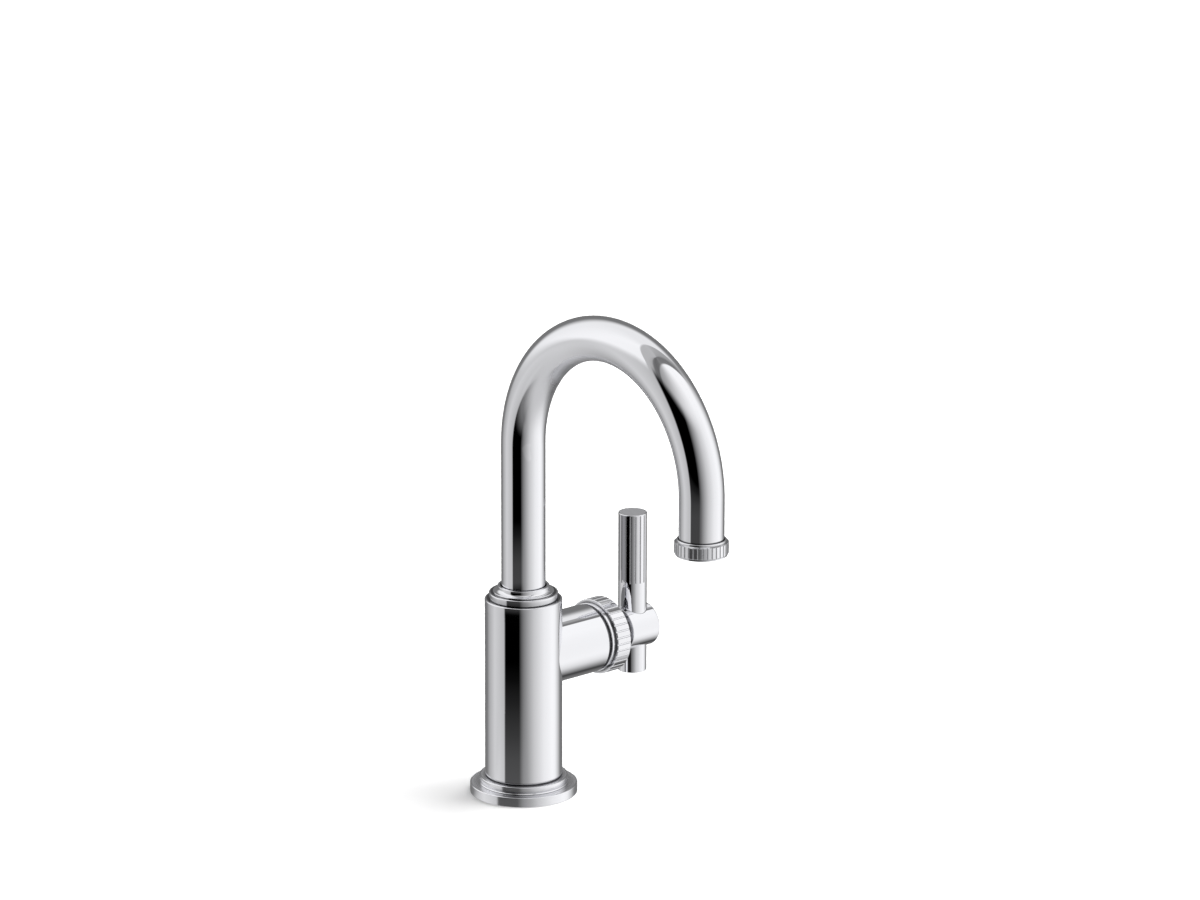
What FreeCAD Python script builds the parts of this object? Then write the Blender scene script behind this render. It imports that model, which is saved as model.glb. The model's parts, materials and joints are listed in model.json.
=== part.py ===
import FreeCAD, Part
import math
import os

# Drinking water faucet, in millimetres.
# The origin is on the deck, on the axis of the body.
# +Z is up, the spout points along -Y and the handle along +X.

# Fits
RUNNING_GAP = 0.05  # radial, between a piece that turns or slides and its bearing
SEAT_GAP = 0.05  # radial, between pieces that are screwed or pushed together
CLEAR_GAP = 0.3  # radial, between pieces that pass without touching
AXIAL_GAP = 0.1  # between end faces that pass over each other

# Spout tube
TUBE_RADIUS = 11.0
TUBE_WALL = 1.5
RISER_LENGTH = 73.26  # from the top of the spout nut to the start of the bend
BEND_RADIUS = 65.1
OUTLET_DROP = 23.16  # from the end of the bend to the end of the tube

# Base flange, step ring and gasket
PLATE_THICKNESS = 4.9
PLATE_LEDGE = 4.7  # width of the flange outside the step ring
PLATE_ROUNDING = 0.5
STEP_HEIGHT = 3.8
STEP_LEDGE = 2.8  # width of the step ring outside the barrel
STEP_ROUNDING = 0.5
GASKET_INSET = 1.55
GASKET_WIDTH = 6.0
GASKET_THICKNESS = 2.0

# Barrel of the body
BARREL_HEIGHT = 91.9
BARREL_WALL = 5.35
BARREL_ROUNDING = 0.6
SHADOW_GAP = 0.4  # height of the groove under the barrel
SHADOW_DEPTH = 0.8
SPIGOT_WALL = 2.85
SPIGOT_RAISE = 1.0  # from the deck to the end of the spigot that centres the flange

# Bearing of the spout in the body
COLLAR_HEIGHT = 3.3
COLLAR_WIDTH = 3.25
COLLAR_ROUNDING = 0.5
COVE_HEIGHT = 3.5
COVE_LIP = 1.6
COVE_FLARE = 2.3
COVE_FOOT = 0.7
COVE_RADIUS = 1.8
COVE_ROUNDING = 0.3
NUT_SKIRT_WALL = 1.3
NUT_THREAD_LENGTH = 10.0
NUT_ROOF = 1.3
BUSH_WALL = 1.5
BUSH_LENGTH = 5.7
SNAP_THICKNESS = 1.2
SNAP_BITE = 1.1  # depth of the snap ring's groove
SNAP_OPENING = 3.0
SEAL_BORE_DEPTH = 8.0
THRUST_THICKNESS = 1.0
THRUST_WIDTH = 1.6
TUBE_LAP = 1.0  # how far the end of the tube stands above the lower end of the bush
TENON_LENGTH = 10.0
FOOT_WALL = 2.0
O_RING_RADIUS = 0.75
O_RING_SPACING = 3.0
O_RING_FIRST = 3.0  # from the floor of the seal bore to the first seal

# Outlet
AERATOR_WALL = 2.1
AERATOR_GRIP = 4.1
AERATOR_TOP_BEVEL = 1.5
AERATOR_FOOT_BEVEL = 1.3
AERATOR_FOOT_INSET = 0.8
AERATOR_LIP = 1.0
AERATOR_LIP_WIDTH = 1.2
AERATOR_CUP_STEP = 1.0
SCREEN_THICKNESS = 0.4
SCREEN_PITCH = 2.0
SCREEN_HOLE_RADIUS = 0.65
INSERT_THICKNESS = 1.6
INSERT_HOLE_RADIUS = 1.2
INSERT_INNER_HOLES = 6
INSERT_INNER_RING = 3.2  # radius of the inner ring of holes
INSERT_OUTER_HOLES = 12
INSERT_OUTER_RING = 6.6  # radius of the outer ring of holes
AERATOR_WASHER_THICKNESS = 1.0
AERATOR_WASHER_WIDTH = 2.0

# Flutes, each a round groove along the piece
RING_FLUTES = 36
AERATOR_FLUTE_RADIUS = 0.36
BONNET_FLUTE_RADIUS = 0.48
LEVER_FLUTES = 18
LEVER_FLUTE_RADIUS = 0.38
LEVER_FLUTE_END = 0.6  # plain band over the flutes

# Ceramic valve, along its axis from the seat outwards
VALVE_ROOF = 2.7  # wall over and under the valve chamber
SEAT_OFFSET = 4.0  # from the axis of the body to the seat
PORT_RADIUS = 2.2
PORT_OFFSET = 4.2
SEAL_THICKNESS = 2.6
DISC_RADIUS = 7.9
DISC_THICKNESS = 3.0
STEM_FLANGE = 4.0
STEM_RADIUS = 4.0
STOP_HEIGHT = 2.0
STOP_DEPTH = 2.0
STOP_HALF_ANGLE = 15.0
STOP_PLAY = 1.0  # degrees at each end of the travel
HANDLE_TRAVEL = 90.0
HOUSING_WALL = 1.25
HOUSING_BARREL = 15.4
HOUSING_FLANGE = 3.0
HOUSING_O_RING_INSET = 2.2
NECK_WALL = 3.45
NECK_LENGTH = 13.0
STEM_O_RING_RADIUS = 0.5
STEM_O_RING_SPACING = 4.0
CLIP_THICKNESS = 1.0
CLIP_WIDTH = 2.2
CLIP_BITE = 0.6
CLIP_OPENING = 2.4
CARTRIDGE_NUT_LENGTH = 6.0
NUT_SLOT_WIDTH = 3.0
NUT_SLOT_DEPTH = 2.0
INLET_RADIUS = 4.0
INLET_OFFSET = 5.0  # from the axis of the body to the inlet channel
OUTLET_RADIUS = 2.6

# Side arm and bonnet ring
SLEEVE_WALL = 3.3
BONNET_WALL = 5.35
BONNET_THREAD = 8.0
BONNET_SPACE = 3.1  # from the cartridge nut to the end of the bonnet's thread
BONNET_NECK_STEP = 2.4
BONNET_NECK_LENGTH = 1.6
BONNET_COLLAR_STEP = 1.1
BONNET_COLLAR_LENGTH = 2.3
BONNET_RIM_STEP = 1.65
BONNET_RIM_LENGTH = 8.65
BONNET_BEVEL = 0.4

# Handle
LEVER_RADIUS = 7.25
LEVER_RISE = 60.1  # from the axis of the handle to the top
LEVER_FALL = 22.8  # from the axis of the handle to the lower end
LEVER_BEVEL = 0.4
LEVER_PLAIN = 24.25  # from the axis of the handle to the start of the flutes
HUB_SIDE_WALL = 3.85
HUB_END_WALL = 2.05
HUB_INNER_WALL = 1.65  # from the lever's hole to the inner end of the hub's head
HUB_NECK_WALL = 4.6
HUB_REACH = 27.05  # from the bonnet ring to the end of the hub
HUB_ROUNDING = 1.6
HUB_INNER_ROUNDING = 0.3
HUB_START_GAP = 1.8
STEM_END_WALL = 3.15
GRUB_RADIUS = 2.0
GRUB_INSET = 2.5
GRUB_SINK = 0.6
GRUB_KEY_FLATS = 2.0
GRUB_KEY_DEPTH = 1.5

# Shank and deck clamp
SHANK_RADIUS = 13.0
SHANK_WALL = 4.0
SHANK_GRIP = 14.5  # length screwed into the body
SHANK_DROP = 55.0  # length below the deck
DECK_THICKNESS = 20.0
CLAMP_WIDTH = 7.7
CLAMP_GASKET_THICKNESS = 3.0
CLAMP_WASHER_THICKNESS = 2.0
NUT_FLATS = 38.0
NUT_HEIGHT = 9.0
NUT_BEVEL = 1.2

# Inlet nipple
INLET_WASHER_THICKNESS = 1.5
NIPPLE_PLUG = 10.0
NIPPLE_FLATS = 24.0
NIPPLE_HEX_HEIGHT = 6.0
NIPPLE_THREAD_RADIUS = 8.33
NIPPLE_THREAD_LENGTH = 13.0
NIPPLE_BORE = 5.0

# Radii, worked out from the tube outwards
tube_bore = TUBE_RADIUS - TUBE_WALL
bearing_radius = TUBE_RADIUS + RUNNING_GAP
bush_radius = bearing_radius + BUSH_WALL
nut_counterbore = bush_radius + SEAT_GAP
nut_skirt_radius = nut_counterbore + NUT_SKIRT_WALL
socket_radius = nut_skirt_radius + SEAT_GAP
barrel_radius = socket_radius + BARREL_WALL
step_radius = barrel_radius + STEP_LEDGE
plate_radius = step_radius + PLATE_LEDGE
collar_radius = socket_radius + COLLAR_WIDTH
cove_bore = TUBE_RADIUS + CLEAR_GAP
cove_top_radius = cove_bore + COVE_LIP
cove_foot_radius = max(cove_top_radius + COVE_FLARE, socket_radius + COVE_FOOT)

# Radii, worked out from the lever and the stem outwards
hub_radius = LEVER_RADIUS + HUB_SIDE_WALL
hub_neck_radius = STEM_RADIUS + HUB_NECK_WALL
hub_bearing = hub_neck_radius + RUNNING_GAP
bonnet_thread_radius = hub_bearing + BONNET_WALL
arm_bore = bonnet_thread_radius + SEAT_GAP
sleeve_radius = arm_bore + SLEEVE_WALL
bonnet_neck_radius = bonnet_thread_radius + BONNET_NECK_STEP
bonnet_collar_radius = bonnet_neck_radius + BONNET_COLLAR_STEP
bonnet_rim_radius = bonnet_collar_radius + BONNET_RIM_STEP

# Radii of the valve, worked out from its discs
disc_bore = DISC_RADIUS + RUNNING_GAP
housing_radius = disc_bore + HOUSING_WALL
chamber_radius = housing_radius + CLEAR_GAP
flange_radius = arm_bore - SEAT_GAP
stem_bore = STEM_RADIUS + RUNNING_GAP
neck_radius = stem_bore + NECK_WALL

# Radii under the deck
shank_bore = SHANK_RADIUS - SHANK_WALL
shank_socket = SHANK_RADIUS + SEAT_GAP
spigot_radius = shank_socket + SPIGOT_WALL
base_bore = spigot_radius + SEAT_GAP
gasket_bore = base_bore + GASKET_INSET
gasket_radius = gasket_bore + GASKET_WIDTH
clamp_bore = SHANK_RADIUS + CLEAR_GAP
clamp_radius = clamp_bore + CLAMP_WIDTH

# Heights, from the deck upwards
step_top = PLATE_THICKNESS + STEP_HEIGHT
barrel_bottom = step_top + SHADOW_GAP
barrel_top = barrel_bottom + BARREL_HEIGHT
collar_top = barrel_top + COLLAR_HEIGHT
cove_top = collar_top + COVE_HEIGHT
bend_height = cove_top + RISER_LENGTH
tube_end = bend_height - OUTLET_DROP
outlet_y = -2 * BEND_RADIUS

# Heights in the spout's bearing, from the top of the barrel downwards
socket_floor = barrel_top - NUT_THREAD_LENGTH
bush_top = collar_top - NUT_ROOF
bush_bottom = bush_top - BUSH_LENGTH
snap_top = bush_bottom - AXIAL_GAP
snap_bottom = snap_top - SNAP_THICKNESS
tube_start = bush_bottom + TUBE_LAP
seal_floor = socket_floor - SEAL_BORE_DEPTH
foot_bottom = seal_floor + THRUST_THICKNESS + AXIAL_GAP
shank_top = SPIGOT_RAISE + SHANK_GRIP

# Height of the handle's axis, under the floor of the seal bore
handle_height = seal_floor - VALVE_ROOF - chamber_radius
cavity_top = handle_height - chamber_radius - VALVE_ROOF

# Places along the handle's axis, from the axis of the body outwards
disc_start = SEAT_OFFSET + SEAL_THICKNESS
moving_start = disc_start + DISC_THICKNESS + AXIAL_GAP
stem_start = moving_start + DISC_THICKNESS
stem_shoulder = stem_start + STEM_FLANGE
housing_floor = stem_shoulder + AXIAL_GAP
flange_start = disc_start + HOUSING_BARREL
flange_end = flange_start + HOUSING_FLANGE
neck_end = flange_end + NECK_LENGTH
cartridge_nut_end = flange_end + CARTRIDGE_NUT_LENGTH
bonnet_start = cartridge_nut_end + BONNET_SPACE
sleeve_end = bonnet_start + BONNET_THREAD
bonnet_neck_end = sleeve_end + BONNET_NECK_LENGTH
bonnet_collar_end = bonnet_neck_end + BONNET_COLLAR_LENGTH
bonnet_end = bonnet_collar_end + BONNET_RIM_LENGTH
hub_end = bonnet_end + HUB_REACH
lever_x = hub_end - HUB_END_WALL - LEVER_RADIUS
head_start = lever_x - LEVER_RADIUS - HUB_INNER_WALL
stem_end = lever_x - LEVER_RADIUS - STEM_END_WALL
clip_start = neck_end + AXIAL_GAP
clip_end = clip_start + CLIP_THICKNESS
hub_start = clip_end + HUB_START_GAP

# Heights of the outlet, from the end of the tube
aerator_top = tube_end + AERATOR_GRIP
insert_top = tube_end - AERATOR_WASHER_THICKNESS
insert_bottom = insert_top - INSERT_THICKNESS
screen_bottom = insert_bottom - SCREEN_THICKNESS
aerator_bottom = screen_bottom - AERATOR_LIP
aerator_bore = TUBE_RADIUS + SEAT_GAP
aerator_radius = aerator_bore + AERATOR_WALL
cup_radius = aerator_bore - AERATOR_CUP_STEP
cup_fill_radius = cup_radius - SEAT_GAP
mouth_radius = cup_radius - AERATOR_LIP_WIDTH

# Heights of the clamp and the inlet, below the deck
clamp_top = -DECK_THICKNESS
clamp_middle = clamp_top - CLAMP_GASKET_THICKNESS
clamp_bottom = clamp_middle - CLAMP_WASHER_THICKNESS
nut_bottom = clamp_bottom - NUT_HEIGHT
shank_bottom = -SHANK_DROP
nipple_seat = shank_bottom - INLET_WASHER_THICKNESS
nipple_hex_bottom = nipple_seat - NIPPLE_HEX_HEIGHT
nipple_end = nipple_hex_bottom - NIPPLE_THREAD_LENGTH

CORNER_SHARE = 0.8  # most of an edge that one rounding may take
CUT_MARGIN = 1.0  # how far a cutter runs past the faces that it opens
HEX_SIDES = 6
FULL_TURN = 360.0
QUARTER_TURN = 90.0
UP = FreeCAD.Vector(0, 0, 1)
ALONG = FreeCAD.Vector(1, 0, 0)
ACROSS = FreeCAD.Vector(0, 1, 0)
ORIGIN = FreeCAD.Vector(0, 0, 0)


def point(radius, height):
    """A point of a turned profile, in the plane through X and Z."""
    return FreeCAD.Vector(radius, 0, height)


def rounded_corner(before, corner, after, rounding):
    """Where an arc of this radius leaves the two edges of a corner, and its middle point."""
    back = before - corner
    ahead = after - corner
    half_angle = back.getAngle(ahead) / 2
    room = CORNER_SHARE * min(back.Length, ahead.Length)
    setback = min(rounding / math.tan(half_angle), room)
    radius = setback * math.tan(half_angle)
    back.normalize()
    ahead.normalize()
    inward = (back + ahead).normalize()
    middle = corner + inward * (radius / math.sin(half_angle) - radius)
    return corner + back * setback, middle, corner + ahead * setback


def outline(corners):
    """A flat face from corners (radius, height), or (radius, height, rounding) for a round corner."""
    points = [point(corner[0], corner[1]) for corner in corners]
    starts = []
    ends = []
    arcs = []
    for index, corner in enumerate(corners):
        here = points[index]
        first, last = here, here
        if len(corner) == 3:
            following = points[(index + 1) % len(points)]
            first, middle, last = rounded_corner(points[index - 1], here, following, corner[2])
            arcs.append(Part.Arc(first, middle, last).toShape())
        starts.append(first)
        ends.append(last)
    lines = [
        Part.makeLine(ends[index - 1], starts[index])
        for index in range(len(points))
    ]
    return Part.Face(Part.Wire(Part.__sortEdges__(lines + arcs)))


def turned(corners, angle=FULL_TURN):
    """A solid turned about Z from the corners of its profile."""
    return outline(corners).revolve(ORIGIN, UP, angle)


def rod(radius, low, high):
    """A round bar on the Z axis."""
    return Part.makeCylinder(radius, high - low, FreeCAD.Vector(0, 0, low))


def ring(outer, inner, low, high):
    """A flat ring on the Z axis."""
    return rod(outer, low, high).cut(rod(inner, low - CUT_MARGIN, high + CUT_MARGIN))


def corner_radius(flats):
    """Radius to the corners of a hexagon, from its size across the flats."""
    return flats / 2 / math.cos(math.pi / HEX_SIDES)


def hexagon(flats, low, high):
    """A six-sided bar on the Z axis, measured across its flats."""
    reach = corner_radius(flats)
    corners = []
    for index in range(HEX_SIDES + 1):
        turn = 2 * math.pi * index / HEX_SIDES
        corners.append(FreeCAD.Vector(reach * math.cos(turn), reach * math.sin(turn), low))
    return Part.Face(Part.makePolygon(corners)).extrude(UP * (high - low))


def bevelled_hexagon(flats, low, high, bevel):
    """A six-sided bar with its corners turned away at both ends."""
    reach = corner_radius(flats)
    blank = turned([
        (0, low),
        (reach - bevel, low),
        (reach, low + bevel),
        (reach, high - bevel),
        (reach - bevel, high),
        (0, high),
    ])
    return hexagon(flats, low, high).common(blank)


def slab(centre_x, centre_y, length, width, low, high):
    """A block along X and Y, about a centre."""
    corner = FreeCAD.Vector(centre_x - length / 2, centre_y - width / 2, low)
    return Part.makeBox(length, width, high - low, corner)


def turned_copies(shape, count, first=0.0):
    """Copies of a shape, spaced evenly about Z."""
    copies = []
    for index in range(count):
        copy = shape.copy()
        copy.rotate(ORIGIN, UP, first + FULL_TURN * index / count)
        copies.append(copy)
    return copies


def flute_cutters(radius, groove_radius, count, low, high):
    """Round bars that cut flutes into a piece of this radius."""
    cutter = rod(groove_radius, low, high)
    cutter.translate(FreeCAD.Vector(radius, 0, 0))
    return turned_copies(cutter, count)


def o_ring(outer, section, height):
    """A seal with this outer radius and section radius."""
    return Part.makeTorus(outer - section, section, FreeCAD.Vector(0, 0, height), UP)


def groove(outer, section, height):
    """The ring that a seal's groove takes out of the piece that carries it."""
    floor = outer - 2 * section - SEAT_GAP
    half_width = section + SEAT_GAP
    return ring(outer + CUT_MARGIN, floor, height - half_width, height + half_width)


def split_ring(outer, inner, low, high, opening):
    """A flat ring that is cut through on one side."""
    gap = slab(outer, 0, 2 * (outer - inner) + CUT_MARGIN, opening, low - CUT_MARGIN, high + CUT_MARGIN)
    return ring(outer, inner, low, high).cut(gap)


def onto_handle_axis(shape):
    """Lay a piece that was made on the Z axis along the handle's axis."""
    shape.rotate(ORIGIN, ACROSS, QUARTER_TURN)
    shape.translate(FreeCAD.Vector(0, 0, handle_height))
    return shape


def at_outlet(shape):
    """Move a piece that was made on the Z axis to the axis of the outlet."""
    shape.translate(FreeCAD.Vector(0, outlet_y, 0))
    return shape


def base_plate():
    plate = turned([
        (base_bore, 0),
        (plate_radius, 0),
        (plate_radius, PLATE_THICKNESS, PLATE_ROUNDING),
        (base_bore, PLATE_THICKNESS),
    ])
    recess = ring(gasket_radius + SEAT_GAP, gasket_bore - SEAT_GAP, -CUT_MARGIN, GASKET_THICKNESS)
    return plate.cut(recess)


def deck_gasket():
    return ring(gasket_radius, gasket_bore, 0, GASKET_THICKNESS)


def step_ring():
    return turned([
        (base_bore, PLATE_THICKNESS),
        (step_radius, PLATE_THICKNESS, STEP_ROUNDING),
        (step_radius, step_top, STEP_ROUNDING),
        (base_bore, step_top),
    ])


def valve_body():
    shadow_radius = barrel_radius - SHADOW_DEPTH
    barrel = turned([
        (0, SPIGOT_RAISE),
        (spigot_radius, SPIGOT_RAISE),
        (spigot_radius, step_top),
        (shadow_radius, step_top),
        (shadow_radius, barrel_bottom),
        (barrel_radius, barrel_bottom, BARREL_ROUNDING),
        (barrel_radius, barrel_top, BARREL_ROUNDING),
        (0, barrel_top),
    ])
    arm = onto_handle_axis(turned([
        (0, 0),
        (sleeve_radius, 0),
        (sleeve_radius, sleeve_end, BARREL_ROUNDING),
        (0, sleeve_end),
    ]))
    inlet = rod(INLET_RADIUS, cavity_top - CUT_MARGIN, handle_height)
    inlet.translate(FreeCAD.Vector(-INLET_OFFSET, 0, 0))
    outlet = rod(OUTLET_RADIUS, handle_height, seal_floor + CUT_MARGIN)
    outlet.translate(FreeCAD.Vector(SEAT_OFFSET + OUTLET_RADIUS, 0, 0))
    cuts = [
        rod(shank_socket, SPIGOT_RAISE - CUT_MARGIN, shank_top),
        rod(barrel_radius - BARREL_WALL, shank_top, cavity_top),
        inlet,
        outlet,
        rod(socket_radius, socket_floor, barrel_top + CUT_MARGIN),
        rod(bearing_radius, seal_floor, socket_floor + CUT_MARGIN),
        onto_handle_axis(rod(INLET_RADIUS, -INLET_OFFSET, SEAT_OFFSET + CUT_MARGIN)),
        onto_handle_axis(rod(chamber_radius, SEAT_OFFSET, flange_start + CUT_MARGIN)),
        onto_handle_axis(rod(arm_bore, flange_start, sleeve_end + CUT_MARGIN)),
    ]
    return barrel.fuse(arm).removeSplitter().cut(cuts)


def collar_ring():
    return turned([
        (socket_radius, barrel_top),
        (collar_radius, barrel_top),
        (collar_radius, collar_top, COLLAR_ROUNDING),
        (socket_radius, collar_top),
    ])


def spout_nut():
    ledge = collar_top + COVE_FOOT
    return turned([
        (nut_counterbore, socket_floor + AXIAL_GAP),
        (nut_skirt_radius, socket_floor + AXIAL_GAP),
        (nut_skirt_radius, collar_top),
        (cove_foot_radius, collar_top),
        (cove_foot_radius, ledge, COVE_ROUNDING),
        (cove_top_radius, ledge, COVE_RADIUS),
        (cove_top_radius, cove_top, COVE_ROUNDING),
        (cove_bore, cove_top),
        (cove_bore, bush_top),
        (nut_counterbore, bush_top),
    ])


def spout_bush():
    return ring(bush_radius, bearing_radius, bush_bottom, bush_top)


def thrust_washer():
    outer = bearing_radius - CLEAR_GAP
    return ring(outer, outer - THRUST_WIDTH, seal_floor, seal_floor + THRUST_THICKNESS)


def tube_run(radius):
    """The solid path of the spout with this radius: riser, half circle and drop."""
    riser = rod(radius, tube_start, bend_height)
    drop = at_outlet(rod(radius, tube_end, bend_height))
    section = Part.makeCircle(radius, FreeCAD.Vector(0, 0, bend_height), UP)
    pivot = FreeCAD.Vector(0, -BEND_RADIUS, bend_height)
    bend = Part.Face(Part.Wire(section)).revolve(pivot, ALONG, FULL_TURN / 2)
    return riser.fuse([bend, drop]).removeSplitter()


def spout_tube():
    return tube_run(TUBE_RADIUS).cut(tube_run(tube_bore))


def spout_foot():
    tenon_radius = tube_bore - SEAT_GAP
    foot_bore = tenon_radius - FOOT_WALL
    foot = turned([
        (foot_bore, foot_bottom),
        (TUBE_RADIUS, foot_bottom),
        (TUBE_RADIUS, tube_start),
        (tenon_radius, tube_start),
        (tenon_radius, tube_start + TENON_LENGTH),
        (foot_bore, tube_start + TENON_LENGTH),
    ])
    clip_groove = ring(
        TUBE_RADIUS + CUT_MARGIN,
        TUBE_RADIUS - SNAP_BITE - SEAT_GAP,
        snap_bottom - SEAT_GAP,
        snap_top + SEAT_GAP,
    )
    grooves = [groove(TUBE_RADIUS, O_RING_RADIUS, height) for height in o_ring_heights()]
    return foot.cut(grooves + [clip_groove])


def o_ring_heights():
    """Heights of the two seals on the foot of the spout."""
    first = seal_floor + O_RING_FIRST
    return [first, first + O_RING_SPACING]


def spout_o_rings():
    return Part.makeCompound([
        o_ring(TUBE_RADIUS, O_RING_RADIUS, height)
        for height in o_ring_heights()
    ])


def snap_ring():
    outer = nut_counterbore - CLEAR_GAP
    return split_ring(outer, TUBE_RADIUS - SNAP_BITE, snap_bottom, snap_top, SNAP_OPENING)


def aerator_ring():
    shell = turned([
        (mouth_radius, aerator_bottom),
        (aerator_radius - AERATOR_FOOT_INSET, aerator_bottom),
        (aerator_radius, aerator_bottom + AERATOR_FOOT_BEVEL),
        (aerator_radius, aerator_top - AERATOR_TOP_BEVEL),
        (aerator_bore + SEAT_GAP, aerator_top),
        (aerator_bore, aerator_top),
        (aerator_bore, tube_end),
        (cup_radius, tube_end),
        (cup_radius, screen_bottom),
        (mouth_radius, screen_bottom),
    ])
    cutters = flute_cutters(
        aerator_radius, AERATOR_FLUTE_RADIUS, RING_FLUTES, aerator_bottom - CUT_MARGIN, aerator_top
    )
    return at_outlet(shell.cut(cutters))


def aerator_washer():
    return at_outlet(ring(cup_fill_radius, cup_fill_radius - AERATOR_WASHER_WIDTH, insert_top, tube_end))


def aerator_insert():
    low = insert_bottom - CUT_MARGIN
    high = insert_top + CUT_MARGIN
    hole = rod(INSERT_HOLE_RADIUS, low, high)
    inner_hole = hole.translated(FreeCAD.Vector(INSERT_INNER_RING, 0, 0))
    outer_hole = hole.translated(FreeCAD.Vector(INSERT_OUTER_RING, 0, 0))
    holes = [hole]
    holes += turned_copies(inner_hole, INSERT_INNER_HOLES)
    holes += turned_copies(outer_hole, INSERT_OUTER_HOLES)
    return at_outlet(rod(cup_fill_radius, insert_bottom, insert_top).cut(holes))


def aerator_screen():
    rows = int(mouth_radius / SCREEN_PITCH) + 1
    row_height = SCREEN_PITCH * math.sin(math.pi / 3)
    reach = mouth_radius - SCREEN_HOLE_RADIUS
    holes = []
    for row in range(-rows, rows + 1):
        for column in range(-rows, rows + 1):
            x = SCREEN_PITCH * (column + (row % 2) / 2)
            y = row_height * row
            if math.hypot(x, y) < reach:
                hole = rod(SCREEN_HOLE_RADIUS, screen_bottom - CUT_MARGIN, insert_bottom + CUT_MARGIN)
                hole.translate(FreeCAD.Vector(x, y, 0))
                holes.append(hole)
    return at_outlet(rod(cup_fill_radius, screen_bottom, insert_bottom).cut(holes))


def seat_seal():
    return onto_handle_axis(ring(housing_radius, PORT_OFFSET + PORT_RADIUS, SEAT_OFFSET, disc_start))


def disc_ports(low, high, first):
    """The two round ports of a disc, opposite each other."""
    port = rod(PORT_RADIUS, low - CUT_MARGIN, high + CUT_MARGIN)
    port.translate(FreeCAD.Vector(PORT_OFFSET, 0, 0))
    return turned_copies(port, 2, first)


def fixed_disc():
    high = disc_start + DISC_THICKNESS
    disc = rod(DISC_RADIUS, disc_start, high)
    return onto_handle_axis(disc.cut(disc_ports(disc_start, high, 0)))


def side_slots(low, high, first):
    """Two slots from the ports of the discs out to the side."""
    length = chamber_radius - PORT_OFFSET + CUT_MARGIN
    slot = slab(PORT_OFFSET + length / 2, 0, length, 2 * PORT_RADIUS, low, high)
    return turned_copies(slot, 2, first)


def moving_disc():
    disc = rod(DISC_RADIUS, moving_start, stem_start)
    cuts = disc_ports(moving_start, stem_start, HANDLE_TRAVEL)
    cuts += side_slots(moving_start - CUT_MARGIN, stem_start + CUT_MARGIN, HANDLE_TRAVEL)
    return onto_handle_axis(disc.cut(cuts))


def stop_sector(outer, low, high, first, last):
    """Part of a ring round the stem, between two angles."""
    inner = STEM_RADIUS - STOP_HEIGHT
    sector = turned([(inner, low), (outer, low), (outer, high), (inner, high)], last - first)
    sector.rotate(ORIGIN, UP, first)
    return sector


def cartridge_housing():
    housing = turned([
        (stem_bore, housing_floor),
        (disc_bore, housing_floor),
        (disc_bore, disc_start),
        (housing_radius, disc_start),
        (housing_radius, flange_start),
        (flange_radius, flange_start),
        (flange_radius, flange_end),
        (neck_radius, flange_end),
        (neck_radius, neck_end),
        (stem_bore, neck_end),
    ])
    pocket = stop_sector(
        STEM_RADIUS + STOP_HEIGHT + CLEAR_GAP,
        housing_floor - CUT_MARGIN,
        stem_shoulder + STOP_DEPTH + AXIAL_GAP,
        -STOP_HALF_ANGLE - STOP_PLAY,
        HANDLE_TRAVEL + STOP_HALF_ANGLE + STOP_PLAY,
    )
    cuts = side_slots(moving_start, stem_start, 0)
    cuts += [pocket, groove(chamber_radius, O_RING_RADIUS, housing_seal_place())]
    return onto_handle_axis(housing.cut(cuts))


def housing_seal_place():
    """Where the seal of the cartridge sits along the handle's axis."""
    return flange_start - HOUSING_O_RING_INSET


def housing_o_ring():
    return onto_handle_axis(o_ring(chamber_radius, O_RING_RADIUS, housing_seal_place()))


def stem_seal_places():
    """Where the two seals of the stem sit along the handle's axis."""
    middle = (flange_end + neck_end) / 2
    return [middle - STEM_O_RING_SPACING / 2, middle + STEM_O_RING_SPACING / 2]


def valve_stem():
    stem = turned([
        (0, stem_start),
        (DISC_RADIUS, stem_start),
        (DISC_RADIUS, stem_shoulder),
        (STEM_RADIUS, stem_shoulder),
        (STEM_RADIUS, stem_end),
        (0, stem_end),
    ])
    lug = stop_sector(
        STEM_RADIUS + STOP_HEIGHT,
        stem_shoulder - CUT_MARGIN,
        stem_shoulder + STOP_DEPTH,
        -STOP_HALF_ANGLE,
        STOP_HALF_ANGLE,
    )
    cuts = [groove(STEM_RADIUS, STEM_O_RING_RADIUS, place) for place in stem_seal_places()]
    cuts.append(ring(
        STEM_RADIUS + CUT_MARGIN,
        STEM_RADIUS - CLIP_BITE - SEAT_GAP,
        clip_start - SEAT_GAP,
        clip_end + SEAT_GAP,
    ))
    return onto_handle_axis(stem.fuse(lug).removeSplitter().cut(cuts))


def stem_o_rings():
    return Part.makeCompound([
        onto_handle_axis(o_ring(STEM_RADIUS, STEM_O_RING_RADIUS, place))
        for place in stem_seal_places()
    ])


def stem_clip():
    inner = STEM_RADIUS - CLIP_BITE
    return onto_handle_axis(split_ring(inner + CLIP_WIDTH, inner, clip_start, clip_end, CLIP_OPENING))


def cartridge_nut():
    nut = ring(flange_radius, neck_radius + SEAT_GAP, flange_end, cartridge_nut_end)
    low = cartridge_nut_end - NUT_SLOT_DEPTH
    slot = slab(0, 0, 2 * arm_bore, NUT_SLOT_WIDTH, low, cartridge_nut_end + CUT_MARGIN)
    return onto_handle_axis(nut.cut([slot] + turned_copies(slot, 1, QUARTER_TURN)))


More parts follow.
